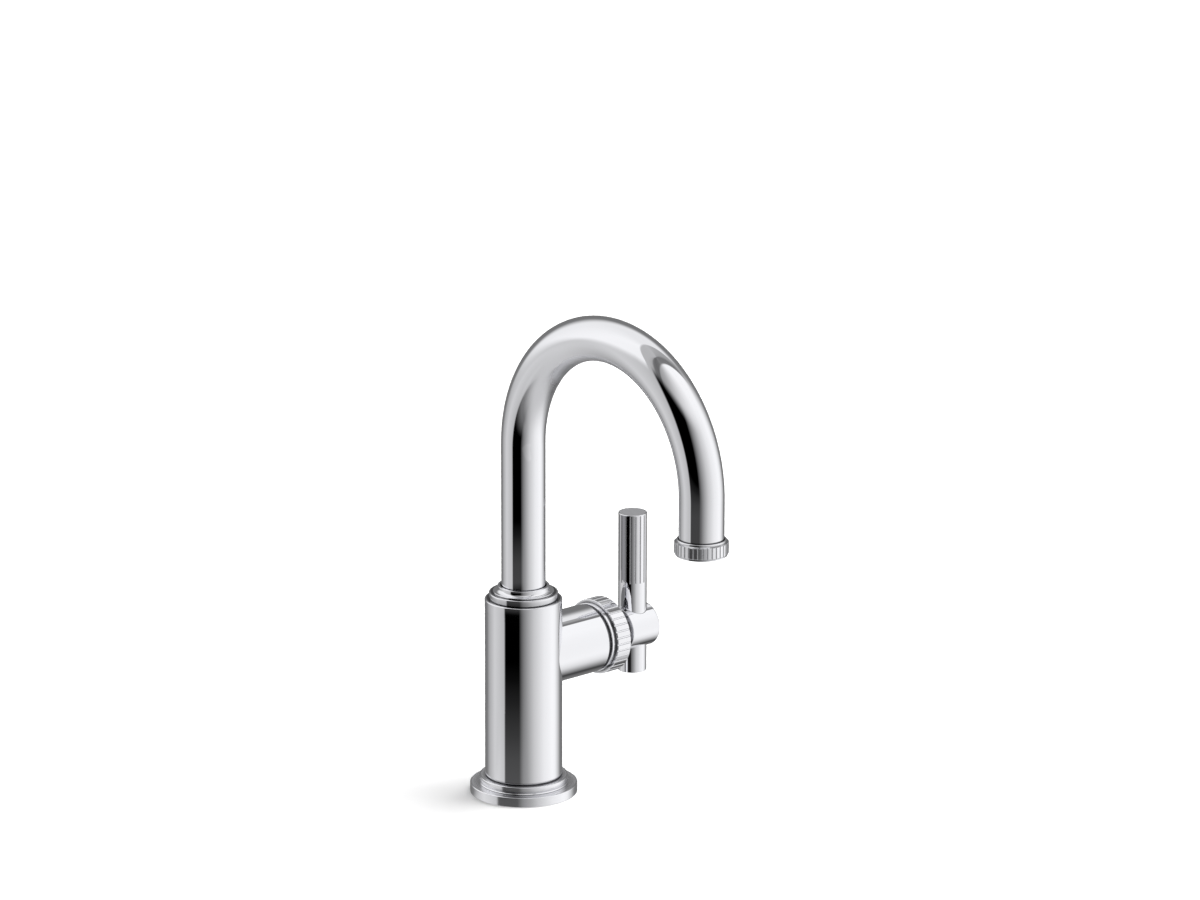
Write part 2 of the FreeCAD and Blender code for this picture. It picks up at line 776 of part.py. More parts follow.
def bonnet_ring():
    bonnet = turned([
        (hub_bearing, bonnet_start),
        (bonnet_thread_radius, bonnet_start),
        (bonnet_thread_radius, sleeve_end),
        (bonnet_neck_radius, sleeve_end),
        (bonnet_neck_radius, bonnet_neck_end),
        (bonnet_collar_radius - BONNET_BEVEL, bonnet_neck_end),
        (bonnet_collar_radius, bonnet_neck_end + BONNET_BEVEL),
        (bonnet_collar_radius, bonnet_collar_end),
        (bonnet_rim_radius - BONNET_BEVEL, bonnet_collar_end),
        (bonnet_rim_radius, bonnet_collar_end + BONNET_BEVEL),
        (bonnet_rim_radius, bonnet_end - BONNET_BEVEL),
        (bonnet_rim_radius - BONNET_BEVEL, bonnet_end),
        (hub_bearing, bonnet_end),
    ])
    cutters = flute_cutters(
        bonnet_rim_radius, BONNET_FLUTE_RADIUS, RING_FLUTES, bonnet_collar_end, bonnet_end
    )
    return onto_handle_axis(bonnet.cut(cutters))


def lever_at(shape):
    """Move an upright piece from the Z axis to the lever's own axis."""
    shape.translate(FreeCAD.Vector(lever_x, 0, handle_height))
    return shape


def grub_bar(radius, x, near, far):
    """A bar across the hub, towards the back, at this place along the handle's axis."""
    start = FreeCAD.Vector(x, near, handle_height)
    return Part.makeCylinder(radius, far - near, start, ACROSS)


def grub_screw(x, near, skin):
    """A grub screw at the back of the hub, sunk under its skin, with a key socket in its outer end."""
    far = skin - GRUB_SINK
    key = hexagon(GRUB_KEY_FLATS, -GRUB_KEY_DEPTH, CUT_MARGIN)
    key.rotate(ORIGIN, ALONG, -QUARTER_TURN)
    key.translate(FreeCAD.Vector(x, far, handle_height))
    return grub_bar(GRUB_RADIUS, x, near, far).cut(key)


def handle_screw_x():
    """Place of the grub screw that holds the hub on the stem."""
    return stem_end - GRUB_INSET


def handle_hub():
    hub = onto_handle_axis(turned([
        (0, hub_start),
        (hub_neck_radius, hub_start),
        (hub_neck_radius, head_start),
        (hub_radius, head_start, HUB_INNER_ROUNDING),
        (hub_radius, hub_end, HUB_ROUNDING),
        (0, hub_end),
    ]))
    through = hub_radius + CUT_MARGIN
    hole_radius = GRUB_RADIUS + SEAT_GAP
    cuts = [
        onto_handle_axis(rod(STEM_RADIUS + SEAT_GAP, hub_start - CUT_MARGIN, stem_end + SEAT_GAP)),
        lever_at(rod(LEVER_RADIUS + SEAT_GAP, -through, through)),
        grub_bar(hole_radius, handle_screw_x(), 0, through),
        grub_bar(hole_radius, lever_x, 0, through),
    ]
    return hub.cut(cuts)


def lever_bar():
    bar = turned([
        (0, -LEVER_FALL),
        (LEVER_RADIUS - LEVER_BEVEL, -LEVER_FALL),
        (LEVER_RADIUS, -LEVER_FALL + LEVER_BEVEL),
        (LEVER_RADIUS, LEVER_RISE - LEVER_BEVEL),
        (LEVER_RADIUS - LEVER_BEVEL, LEVER_RISE),
        (0, LEVER_RISE),
    ])
    cutters = flute_cutters(
        LEVER_RADIUS, LEVER_FLUTE_RADIUS, LEVER_FLUTES, LEVER_PLAIN, LEVER_RISE - LEVER_FLUTE_END
    )
    return lever_at(bar.cut(cutters))


def handle_set_screw():
    return grub_screw(handle_screw_x(), STEM_RADIUS + SEAT_GAP, hub_neck_radius)


def lever_set_screw():
    return grub_screw(lever_x, LEVER_RADIUS + SEAT_GAP, hub_radius)


def shank():
    return ring(SHANK_RADIUS, shank_bore, shank_bottom, shank_top)


def clamp_gasket():
    return ring(clamp_radius, clamp_bore, clamp_middle, clamp_top)


def clamp_washer():
    return ring(clamp_radius, clamp_bore, clamp_bottom, clamp_middle)


def mounting_nut():
    nut = bevelled_hexagon(NUT_FLATS, nut_bottom, clamp_bottom, NUT_BEVEL)
    return nut.cut(rod(SHANK_RADIUS + RUNNING_GAP, nut_bottom - CUT_MARGIN, clamp_bottom + CUT_MARGIN))


def inlet_washer():
    return ring(SHANK_RADIUS, shank_bore, nipple_seat, shank_bottom)


def inlet_nipple():
    plug = rod(shank_bore - SEAT_GAP, nipple_seat, shank_bottom + NIPPLE_PLUG)
    collar = hexagon(NIPPLE_FLATS, nipple_hex_bottom, nipple_seat)
    thread = rod(NIPPLE_THREAD_RADIUS, nipple_end, nipple_hex_bottom)
    bore = rod(NIPPLE_BORE, nipple_end - CUT_MARGIN, shank_bottom + NIPPLE_PLUG + CUT_MARGIN)
    return collar.fuse([plug, thread]).cut(bore)


PIECES = [
    base_plate,
    deck_gasket,
    step_ring,
    valve_body,
    collar_ring,
    spout_nut,
    spout_bush,
    thrust_washer,
    spout_tube,
    spout_foot,
    spout_o_rings,
    snap_ring,
    aerator_ring,
    aerator_washer,
    aerator_insert,
    aerator_screen,
    seat_seal,
    fixed_disc,
    moving_disc,
    cartridge_housing,
    housing_o_ring,
    valve_stem,
    stem_o_rings,
    stem_clip,
    cartridge_nut,
    bonnet_ring,
    handle_hub,
    lever_bar,
    handle_set_screw,
    lever_set_screw,
    shank,
    clamp_gasket,
    clamp_washer,
    mounting_nut,
    inlet_washer,
    inlet_nipple,
]

os.makedirs("parts", exist_ok=True)
for piece in PIECES:
    shape = piece()
    shape.exportStep(os.path.join("parts", piece.__name__ + ".step"))
    print(piece.__name__, len(shape.Solids), "solids", round(shape.Volume), "mm3", shape.isValid())
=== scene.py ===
"""Drinking water faucet: polished pieces, finishes and a studio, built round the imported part.

Lengths are in metres, in the part's own frame. The deck is z = 0, the spout points along -Y and the
handle along +X.
"""
import json
import math

import bpy
import numpy as np
from bpy.props import FloatProperty, FloatVectorProperty, IntProperty, PointerProperty
from mathutils import Matrix, Vector


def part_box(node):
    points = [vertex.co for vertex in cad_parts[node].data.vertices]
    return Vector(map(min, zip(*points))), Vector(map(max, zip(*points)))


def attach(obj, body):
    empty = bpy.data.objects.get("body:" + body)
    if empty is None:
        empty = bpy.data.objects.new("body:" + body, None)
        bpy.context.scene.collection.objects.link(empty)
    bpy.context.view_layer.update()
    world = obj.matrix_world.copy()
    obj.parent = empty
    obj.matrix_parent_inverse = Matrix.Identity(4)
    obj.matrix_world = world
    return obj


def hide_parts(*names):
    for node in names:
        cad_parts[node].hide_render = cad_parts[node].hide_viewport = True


bl_info = {
    "name": "Drinking water faucet",
    "version": (1, 0, 0),
    "blender": (4, 5, 0),
    "location": "3D View > Sidebar > Faucet",
    "description": "Makes the polished pieces, finishes and studio of a drinking water faucet",
    "category": "Object",
}

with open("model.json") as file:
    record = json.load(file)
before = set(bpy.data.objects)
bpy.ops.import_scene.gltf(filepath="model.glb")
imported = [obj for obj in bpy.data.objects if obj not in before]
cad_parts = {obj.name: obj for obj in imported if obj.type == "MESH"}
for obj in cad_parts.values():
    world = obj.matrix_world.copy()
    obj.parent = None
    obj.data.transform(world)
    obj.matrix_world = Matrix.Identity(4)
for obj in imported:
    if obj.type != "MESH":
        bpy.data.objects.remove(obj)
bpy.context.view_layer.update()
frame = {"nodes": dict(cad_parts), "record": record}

MM = 0.001
FULL_TURN = 2 * math.pi
QUARTER = math.pi / 2
WELD = 1e-6  # points closer than this are one point
CELL_SHIFT = 0.123  # keeps points at round lengths off the border between two cells of the weld
TINY = 1e-15
ARC_STEPS = 9  # points on each rounded edge
CORNER_SHARE = 0.8  # most of an edge that one rounding may take
GROOVE_STEPS = 13  # points across a flute
LAND_STEPS = 4  # points between two flutes
FLUTE_LIP = 0.05 * MM  # width of the broken edge beside a flute
BROKEN = 0.12 * MM  # rounding of an edge that is only broken
ROUND = 256  # points round a large turned piece
STAGE_ROUND = 96  # points round the floor and the glows
CROWDING = 1.5  # how far the rings round a hole crowd toward it
THREAD_ROUND = 72  # points round a thread
THREAD_STEPS = 12  # points along each turn of a thread
GAP_SHADE = 1.0  # full painted shade of a gap between two pieces or of a bore
FLUTE_SHADE = 0.55  # painted shade along the edges of a flute, which fades to its middle
BEND_SATIN = 1.0  # on the inside of the bend, where polish is hardest to reach
SATIN = 0.6  # satin of a turned face
COLLAR_SHADE = 0.4  # painted shade at the foot of the collar
STEP_SHADE = 0.35  # painted shade at the foot of the step ring
OUTLET_SHADE = 0.4  # painted shade in the hollows of the outlet ring
HEAD_SHADE = 0.85  # painted shade on the inner end of the hub's head


def span(node):
    """Lowest and highest corner of a CAD node."""
    low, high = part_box(node)
    return np.array(low), np.array(high)


def length(name, description, default):
    """A length that a user may change."""
    return FloatProperty(name=name, description=description, default=default, min=0.0,
                         precision=5, subtype="DISTANCE", unit="LENGTH")


def colour(name, description, default):
    """A colour that a user may change."""
    return FloatVectorProperty(name=name, description=description, default=default, size=3,
                               min=0.0, max=1.0, subtype="COLOR")


def share(name, description, default):
    """A share from 0 to 1 that a user may change."""
    return FloatProperty(name=name, description=description, default=default, min=0.0, max=1.0,
                         subtype="FACTOR")


def angle(name, description, degrees):
    """An angle that a user may change."""
    return FloatProperty(name=name, description=description, default=math.radians(degrees),
                         subtype="ANGLE", unit="ROTATION")


def number(name, description, default):
    """A plain number that a user may change."""
    return FloatProperty(name=name, description=description, default=default)


def count(name, description, default):
    """A number of like features that a user may change."""
    return IntProperty(name=name, description=description, default=default, min=1)


class FaucetSizes(bpy.types.PropertyGroup):
    """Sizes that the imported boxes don't give."""

    flange_bore: length("Flange bore", "Radius of the hole in the flange and the step ring", 15.95 * MM)
    gasket_bore: length("Gasket bore", "Radius of the hole in the deck gasket", 17.5 * MM)
    shadow_gap: length("Shadow gap", "Height of the groove under the barrel", 0.4 * MM)
    shadow_depth: length("Shadow depth", "Depth of the groove under the barrel", 0.8 * MM)
    spigot: length("Spigot", "Radius of the spigot that centres the flange", 15.9 * MM)
    socket: length("Socket", "Radius of the socket in the top of the barrel", 13.95 * MM)
    arm: length("Arm", "Radius of the side arm", 17.35 * MM)
    arm_bore: length("Arm bore", "Radius of the bore of the side arm", 14.05 * MM)
    edge: length("Edge", "Rounding of the ends of the barrel and the arm", 0.6 * MM)
    ring_edge: length("Ring edge", "Rounding of the flange, step ring and collar", 0.5 * MM)
    step_lip: length("Step lip", "How far the thin foot of the step ring stands out", 0.3 * MM)
    cove_foot: length("Cove foot", "Height of the plain foot of the spout nut", 0.7 * MM)
    cove_top: length("Cove top", "Radius of the spout nut at its top", 12.9 * MM)
    cove: length("Cove", "Radius of the hollow curve of the spout nut", 1.8 * MM)
    cove_edge: length("Cove edge", "Rounding of the edges of the spout nut", 0.3 * MM)
    nut_skirt: length("Nut skirt", "Radius of the spout nut inside the collar", 13.9 * MM)
    nut_bore: length("Nut bore", "Radius of the hole that the tube passes", 11.3 * MM)
    tube_wall: length("Tube wall", "Thickness of the spout tube", 1.5 * MM)
    outlet_grip: length("Outlet grip", "How far the outlet ring laps over the end of the tube", 4.1 * MM)
    outlet_top: length("Outlet top", "Height of the hollow over the flutes of the outlet ring", 1.5 * MM)
    # The seam's darkness is painted shade on the end of the spout tube
    outlet_seam: length("Outlet seam", "Height of the dark seam over the outlet ring", 0.7 * MM)
    outlet_bead: length("Outlet bead", "Width of the bead round the top of the outlet ring", 0.95 * MM)
    outlet_foot: length("Outlet foot", "Height of the plain foot of the outlet ring", 1.25 * MM)
    outlet_inset: length("Outlet inset", "How far the foot of the outlet ring draws in", 0.55 * MM)
    outlet_mouth: length("Outlet mouth", "Radius of the mouth of the outlet ring", 8.85 * MM)
    outlet_cup: length("Outlet cup", "Radius of the cup behind the mouth", 10.05 * MM)
    outlet_lip: length("Outlet lip", "Thickness of the lip round the mouth", 1.0 * MM)
    bonnet_thread: length("Bonnet thread", "Radius of the part of the bonnet inside the arm", 14.0 * MM)
    bonnet_neck: length("Bonnet neck", "Radius of the neck of the bonnet", 16.4 * MM)
    bonnet_neck_length: length("Neck length", "Length of the neck of the bonnet", 1.6 * MM)
    bonnet_collar: length("Bonnet collar", "Radius of the collar of the bonnet", 17.5 * MM)
    bonnet_collar_length: length("Collar length", "Length of the collar of the bonnet", 2.3 * MM)
    bonnet_edge: length("Bonnet edge", "Rounding of the edges of the bonnet", 0.4 * MM)
    hub_neck: length("Hub neck", "Radius of the hub's neck in the bonnet", 8.6 * MM)
    hub_wall: length("Hub wall", "From the lever's hole to the inner end of the hub's head", 1.65 * MM)
    hub_inner_edge: length("Hub inner edge", "Rounding of the inner end of the hub's head", 0.3 * MM)
    hub_edge: length("Hub edge", "Rounding of the end of the hub", 1.6 * MM)
    lever_edge: length("Lever edge", "Rounding of the ends of the lever", 0.4 * MM)
    lever_plain: length("Lever plain", "From the axis of the handle to the flutes", 24.25 * MM)
    lever_band: length("Lever band", "Plain band over the flutes of the lever", 0.6 * MM)
    hole_lip: length("Hole lip", "Rounding of the rim of a hole in the hub", 0.18 * MM)
    screw: length("Screw", "Radius of the grub screws in the hub", 2.05 * MM)
    outlet_flute: length("Outlet flute", "Radius of a flute of the outlet ring", 0.36 * MM)
    bonnet_flute: length("Bonnet flute", "Radius of a flute of the bonnet", 0.48 * MM)
    lever_flute: length("Lever flute", "Radius of a flute of the lever", 0.38 * MM)
    ring_flutes: count("Ring flutes", "Flutes round the outlet ring and the bonnet", 36)
    lever_flutes: count("Lever flutes", "Flutes round the lever", 18)
    shank_bore: length("Shank bore", "Radius of the bore of the shank", 9.0 * MM)
    clamp_bore: length("Clamp bore", "Radius of the hole in the clamp washers", 13.3 * MM)
    thread_pitch: length("Thread pitch", "Pitch of the thread of the shank", 1.5 * MM)
    thread_depth: length("Thread depth", "Depth of the thread of the shank", 0.8 * MM)
    nut_edge: length("Nut edge", "Height of the bevel of the mounting nut", 1.2 * MM)
    nipple_thread: length("Nipple thread", "Radius of the thread of the inlet", 8.33 * MM)
    nipple_flats: length("Nipple flats", "Size of the inlet across its flats", 24.0 * MM)
    nipple_hex: length("Nipple hexagon", "Height of the hexagon of the inlet", 6.0 * MM)
    nipple_bore: length("Nipple bore", "Radius of the bore of the inlet", 5.0 * MM)
    nipple_pitch: length("Nipple pitch", "Pitch of the thread of the inlet", 1.34 * MM)


class FaucetFinishes(bpy.types.PropertyGroup):
    """Colours and gloss of the finishes."""

    chrome: colour("Chrome", "Colour of the polished chrome", (0.90, 0.90, 0.925))
    chrome_shade: colour("Chrome shade", "Colour of its faint clouds", (0.875, 0.88, 0.91))
    chrome_gloss: share("Chrome roughness", "Least roughness of the polished chrome", 0.025)
    turned_gloss: share("Turned roughness", "Least roughness of the turned rims", 0.06)
    satin_gloss: share("Satin roughness", "Roughness that a cut end adds", 0.38)
    # Painted shade: the dark grey that the chrome is mixed toward in gaps, bores, hollows and along flute
    # edges, and how far it goes
    recess: colour("Recess", "Colour of the chrome deep in a groove", (0.035, 0.035, 0.04))
    painted_shade_strength: share("Recess depth", "How far a groove darkens", 0.85)
    brass: colour("Brass", "Colour of the machined brass", (0.78, 0.57, 0.26))
    brass_shade: colour("Brass shade", "Colour of the brass where it has dulled", (0.52, 0.35, 0.15))
    rubber: colour("Rubber", "Colour of the seals and gaskets", (0.022, 0.022, 0.024))
    rubber_bloom: colour("Rubber bloom", "Colour of the pale bloom on rubber", (0.060, 0.060, 0.063))
    nylon: colour("Nylon", "Colour of the white nylon", (0.80, 0.79, 0.75))
    nylon_shade: colour("Nylon shade", "Colour of the nylon where it is thick", (0.70, 0.69, 0.64))
    ceramic: colour("Ceramic", "Colour of the valve discs", (0.86, 0.85, 0.82))
    ceramic_speck: colour("Ceramic speck", "Colour of the grain of the ceramic", (0.74, 0.73, 0.69))
    steel: colour("Steel", "Colour of the stainless steel", (0.62, 0.61, 0.60))
    steel_shade: colour("Steel shade", "Colour of the brush marks on the steel", (0.47, 0.46, 0.45))
    plastic: colour("Plastic", "Colour of the grey plastic", (0.21, 0.215, 0.225))
    plastic_shade: colour("Plastic shade", "Colour of the flow marks in the plastic", (0.16, 0.165, 0.175))
    fibre: colour("Fibre", "Colour of the red fibre washer", (0.36, 0.075, 0.050))
    fibre_shade: colour("Fibre shade", "Colour between the fibres", (0.20, 0.040, 0.028))


class FaucetStage(bpy.types.PropertyGroup):
    """Camera, floor and light."""

    lens: number("Lens", "Focal length in millimetres", 185.7)
    distance: length("Distance", "From the camera to the middle of the view", 3.0957)
    bearing: angle("Bearing", "Turn of the camera from the front of the spout", -41.035)
    height: angle("Height", "Angle of the camera over the horizon", 16.975)
    aside: length("Aside", "How far right of the body the camera points", 13.3 * MM)
    above: length("Above", "How far over the deck the camera points, square to its line", 135.0 * MM)
    shift_x: number("Shift across", "Lens shift across the picture", 0.0414)
    shift_y: number("Shift up", "Lens shift up the picture", 0.0582)
    floor: colour("Floor", "Colour of the floor", (0.93, 0.93, 0.93))
    floor_size: length("Floor size", "Radius of the floor", 8.0)
    key: number("Key light", "Power of the soft light over the floor", 100.0)


class Wire:
    """An output socket of a node tree. Sums with it add Math nodes, and node() adds any other node."""

    def __init__(self, tree, socket=None):
        self.tree = tree
        self.socket = socket

    def node(self, kind, settings, sockets, output=0):
        """Add a node: its settings first, a ramp's stops among them, then its sockets' values or links."""
        made = self.tree.nodes.new(kind)
        for name, value in settings.items():
            if name == "stops":
                fill_ramp(made.color_ramp, value)
            else:
                setattr(made, name, value)
        for name, value in sockets.items():
            if isinstance(value, Wire):
                self.tree.links.new(value.socket, made.inputs[name])
            else:
                made.inputs[name].default_value = value
        return Wire(self.tree, made.outputs[output] if len(made.outputs) else None)

    def sum(self, operation, first, second):
        return self.node("ShaderNodeMath", {"operation": operation}, {0: first, 1: second})

    def __add__(self, other):
        return self.sum("ADD", self, other)

    __radd__ = __add__

    def __sub__(self, other):
        return self.sum("SUBTRACT", self, other)

    def __rsub__(self, other):
        return self.sum("SUBTRACT", other, self)

    def __mul__(self, other):
        return self.sum("MULTIPLY", self, other)

    __rmul__ = __mul__

    def __truediv__(self, other):
        return self.sum("DIVIDE", self, other)

    def __rtruediv__(self, other):
        return self.sum("DIVIDE", other, self)


def fill_ramp(ramp, stops):
    """Give a colour ramp its stops, each a place from 0 to 1 and a grey."""
    while len(ramp.elements) > 1:
        ramp.elements.remove(ramp.elements[-1])
    for index, (place, grey) in enumerate(stops):
        stop = ramp.elements[0] if index == 0 else ramp.elements.new(place)
        stop.position = place
        stop.color = (grey, grey, grey, 1.0)


def mixed(factor, first, second):
    """A colour between two, by a factor."""
    colours = {0: factor, 6: opaque(first), 7: opaque(second)}
    return factor.node("ShaderNodeMix", {"data_type": "RGBA"}, colours, 2)


def opaque(value):
    """A colour with its alpha, or a link as it is."""
    return value if isinstance(value, Wire) else (*value, 1.0)


def grain(coords, scale, stretch=(1.0, 1.0, 1.0), detail=2.0):
    """Noise from 0 to 1, its size in cells to the metre, stretched along the axes."""
    placed = coords.node("ShaderNodeMapping", {}, {"Vector": coords, "Scale": stretch})
    return coords.node("ShaderNodeTexNoise", {}, {"Vector": placed, "Scale": scale, "Detail": detail})


def relief(height, depth, strength=1.0):
    """A normal from a height that runs from 0 to 1 over a depth in metres."""
    return height.node("ShaderNodeBump", {}, {"Height": height, "Distance": depth, "Strength": strength})


def new_finish(name):
    """An empty material and the Object coordinates that its patterns read."""
    material = bpy.data.materials.new(name)
    material.use_nodes = True
    material.node_tree.nodes.clear()
    coords = Wire(material.node_tree).node("ShaderNodeTexCoord", {}, {}, "Object")
    return material, coords


def tone_of(coords, name):
    """How much painted shade a point of a piece has, or how satin it is, from 0 to 1."""
    return coords.node("ShaderNodeAttribute", {"attribute_name": name}, {}, "Fac")


def shine(material, coords, **sockets):
    """Finish a material with a shader that has these sockets, spelled with _ for a space."""
    named = {name.replace("_", " "): opaque(v) if name == "Base_Color" else v for name, v in sockets.items()}
    shader = coords.node("ShaderNodeBsdfPrincipled", {}, named)
    coords.node("ShaderNodeOutputMaterial", {}, {"Surface": shader})
    return material


def polished_chrome(colours):
    """Mirror chrome: faint clouds, a breath of haze, painted shade in its gaps, bores and hollows and along
    its flutes, and satin on its cut ends.
    """
    material, coords = new_finish("polished_chrome")
    cloud = grain(coords, 22.0)
    haze = grain(coords, 130.0, detail=4.0)
    recess = tone_of(coords, "recess")
    satin = tone_of(coords, "satin")
    rough = colours.chrome_gloss + 0.018 * cloud * haze + 0.06 * recess + colours.satin_gloss * satin
    tone = mixed(cloud, colours.chrome, colours.chrome_shade)
    # Painted shade: the chrome is mixed toward a dark grey in gaps, bores, hollows and along flute edges
    tone = mixed(colours.painted_shade_strength * recess, tone, colours.recess)
    return shine(material, coords, Base_Color=tone, Metallic=1.0, Roughness=rough)


def turned_chrome(colours):
    """Chrome over fine lathe marks: noise squeezed along Z rings the walls."""
    material, coords = new_finish("turned_chrome")
    rings = grain(coords, 1.0, (8.0, 8.0, 2600.0), 3.0)
    cloud = grain(coords, 30.0)
    recess = tone_of(coords, "recess")
    satin = tone_of(coords, "satin")
    rough = colours.turned_gloss + 0.10 * rings + 0.02 * cloud + colours.satin_gloss * satin
    tone = mixed(rings, colours.chrome, colours.chrome_shade)
    # Painted shade: the chrome is mixed toward a dark grey in gaps, bores, hollows and along flute edges
    tone = mixed(colours.painted_shade_strength * recess, tone, colours.recess)
    normal = relief(rings, 0.006 * MM, 0.55)
    return shine(material, coords, Base_Color=tone, Metallic=1.0, Roughness=rough, Normal=normal)


def machined_brass(colours):
    """Brass with tool marks and dull patches."""
    material, coords = new_finish("machined_brass")
    marks = grain(coords, 1.0, (300.0, 300.0, 5200.0), 3.0)
    stain = grain(coords, 75.0, detail=5.0)
    rough = 0.20 + 0.16 * marks + 0.14 * stain
    tone = mixed(stain, colours.brass, colours.brass_shade)
    normal = relief(marks, 0.02 * MM, 0.4)
    return shine(material, coords, Base_Color=tone, Metallic=1.0, Roughness=rough, Normal=normal)


def black_rubber(colours):
    """Moulded rubber with a fine grain and a faint bloom."""
    material, coords = new_finish("black_rubber")
    bloom = grain(coords, 60.0, detail=5.0)
    pores = grain(coords, 2400.0, detail=3.0)
    rough = 0.52 + 0.22 * bloom
    tone = mixed(bloom * pores, colours.rubber, colours.rubber_bloom)
    normal = relief(pores, 0.03 * MM, 0.5)
    return shine(material, coords, Base_Color=tone, Roughness=rough, Normal=normal)


def white_nylon(colours):
    """Turned nylon, slightly waxy."""
    material, coords = new_finish("white_nylon")
    depth = grain(coords, 90.0, detail=3.0)
    marks = grain(coords, 1.0, (400.0, 400.0, 3800.0), 2.0)
    tone = mixed(depth, colours.nylon, colours.nylon_shade)
    normal = relief(marks, 0.015 * MM, 0.4)
    return shine(material, coords, Base_Color=tone, Roughness=0.32 + 0.14 * marks, Normal=normal)


def ceramic(colours):
    """Lapped ceramic with a fine speckle."""
    material, coords = new_finish("ceramic")
    speck = grain(coords, 3200.0, detail=2.0)
    cloud = grain(coords, 140.0)
    tone = mixed(speck * cloud, colours.ceramic, colours.ceramic_speck)
    return shine(material, coords, Base_Color=tone, Roughness=0.14 + 0.10 * speck)


def stainless_steel(colours):
    """Brushed steel: noise drawn out along X and Y."""
    material, coords = new_finish("stainless_steel")
    brush = grain(coords, 1.0, (420.0, 420.0, 5000.0), 4.0)
    cloud = grain(coords, 80.0)
    tone = mixed(brush, colours.steel, colours.steel_shade)
    normal = relief(brush, 0.012 * MM, 0.4)
    rough = 0.20 + 0.14 * brush + 0.04 * cloud
    return shine(material, coords, Base_Color=tone, Metallic=1.0, Roughness=rough, Normal=normal)


def grey_plastic(colours):
    """Moulded plastic with flow marks and a fine spark finish."""
    material, coords = new_finish("grey_plastic")
    flow = grain(coords, 70.0, (1.0, 1.0, 0.35), 4.0)
    spark = grain(coords, 2800.0)
    tone = mixed(flow, colours.plastic, colours.plastic_shade)
    normal = relief(spark, 0.02 * MM, 0.4)
    return shine(material, coords, Base_Color=tone, Roughness=0.38 + 0.16 * spark, Normal=normal)


def red_fibre(colours):
    """Pressed fibre washer: short threads lying flat."""
    material, coords = new_finish("red_fibre")
    thread = grain(coords, 1.0, (2600.0, 520.0, 900.0), 3.0)
    felt = grain(coords, 700.0, detail=4.0)
    tone = mixed(thread * felt, colours.fibre, colours.fibre_shade)
    normal = relief(thread, 0.06 * MM, 0.6)
    return shine(material, coords, Base_Color=tone, Roughness=0.72 + 0.16 * felt, Normal=normal)


FINISHES = {
    maker.__name__: maker
    for maker in (polished_chrome, turned_chrome, machined_brass, black_rubber, white_nylon,
                  ceramic, stainless_steel, grey_plastic, red_fibre)
}


def finish(slot):
    """The material of a slot, made the first time that it is asked for."""
    made = bpy.data.materials.get(slot + "_finish")
    if made is None:
        made = FINISHES[slot](bpy.context.scene.faucet_finishes)
        made.name = slot + "_finish"
    return made


def unit(vectors):
    """Vectors brought to length one."""
    return vectors / np.maximum(np.linalg.norm(vectors, axis=-1, keepdims=True), TINY)


def rounded(corners, closed=True, steps=ARC_STEPS):
    """Points along straight edges whose corners are arcs, each point with its painted shade and satin.

    A corner is (radius, height, rounding), and may go on with how much painted shade it has and how satin
    it is, from 0 to 1. With b and a the directions back and ahead along the edges, h half the angle between
    them, m = (b + a) made unit and t = (a - b) made unit, the arc's centre is corner + m r / sin h and its
    points are centre + r (t sin w - m cos w), with w from -(90 - h) to 90 - h degrees.
    """
    marks = np.array([(*corner, 0.0, 0.0)[:5] for corner in corners], float)
    place = marks[:, :2]
    back = np.roll(place, 1, 0) - place
    ahead = np.roll(place, -1, 0) - place
    room = CORNER_SHARE * np.minimum(np.linalg.norm(back, axis=1), np.linalg.norm(ahead, axis=1))
    back, ahead = unit(back), unit(ahead)
    half = np.arccos(np.clip((back * ahead).sum(1), -1, 1)) / 2
    setback = np.minimum(marks[:, 2] / np.tan(half), room)
    radius = setback * np.tan(half)
    middle, across = unit(back + ahead), unit(ahead - back)
    centre = place + middle * (radius / np.sin(half))[:, None]
    turn = (QUARTER - half)[:, None] * np.linspace(-1, 1, steps)
    swing = across[:, None] * np.sin(turn)[..., None] - middle[:, None] * np.cos(turn)[..., None]
    arcs = centre[:, None] + radius[:, None, None] * swing
    tone = np.repeat(marks[:, None, 3:], steps, axis=1)
    path = np.concatenate((arcs, tone), axis=2)
    if closed:
        return path.reshape(-1, 4)
    ends = marks[[0, -1]][:, [0, 1, 3, 4]]
    return np.concatenate((ends[:1], path[1:-1].reshape(-1, 4), ends[1:]))


def divided(path, step):
    """A closed path with points added, so that no step along it is longer than this."""
    ahead = np.roll(path, -1, 0) - path
    parts = np.maximum(1, np.ceil(np.linalg.norm(ahead[:, :2], axis=1) / step)).astype(int)
    start = np.repeat(np.arange(len(parts)), parts)
    order = np.arange(parts.sum()) - np.repeat(np.cumsum(parts) - parts, parts)
    return path[start] + (order / parts[start])[:, None] * ahead[start]


def round_angles(count, first=0.0):
    """Even angles round a full turn."""
    return first + FULL_TURN * np.arange(count) / count


def fluted(radius, groove, count):
    """Angles round a fluted bar, and the radius left and the painted shade at each.

    A flute is a circle of radius g about a point on the surface. At w across it, from -90 to 90 degrees, the
    angle off its middle is g sin w / R, the radius left is R - g cos w and the painted shade follows (sin w)
    ^ 4.
    """
    turn = np.linspace(-QUARTER, QUARTER, GROOVE_STEPS)
    edge = (groove + FLUTE_LIP) / radius
    land = np.linspace(edge, FULL_TURN / count - edge, LAND_STEPS)
    angles = np.concatenate((groove * np.sin(turn) / radius, land))
    left = np.concatenate((radius - groove * np.cos(turn), np.full(LAND_STEPS, radius)))
    shade = np.concatenate((FLUTE_SHADE * np.sin(turn) ** 4, np.zeros(LAND_STEPS)))
    middles = round_angles(count)[:, None]
    return (middles + angles).ravel(), np.tile(left, count), np.tile(shade, count)


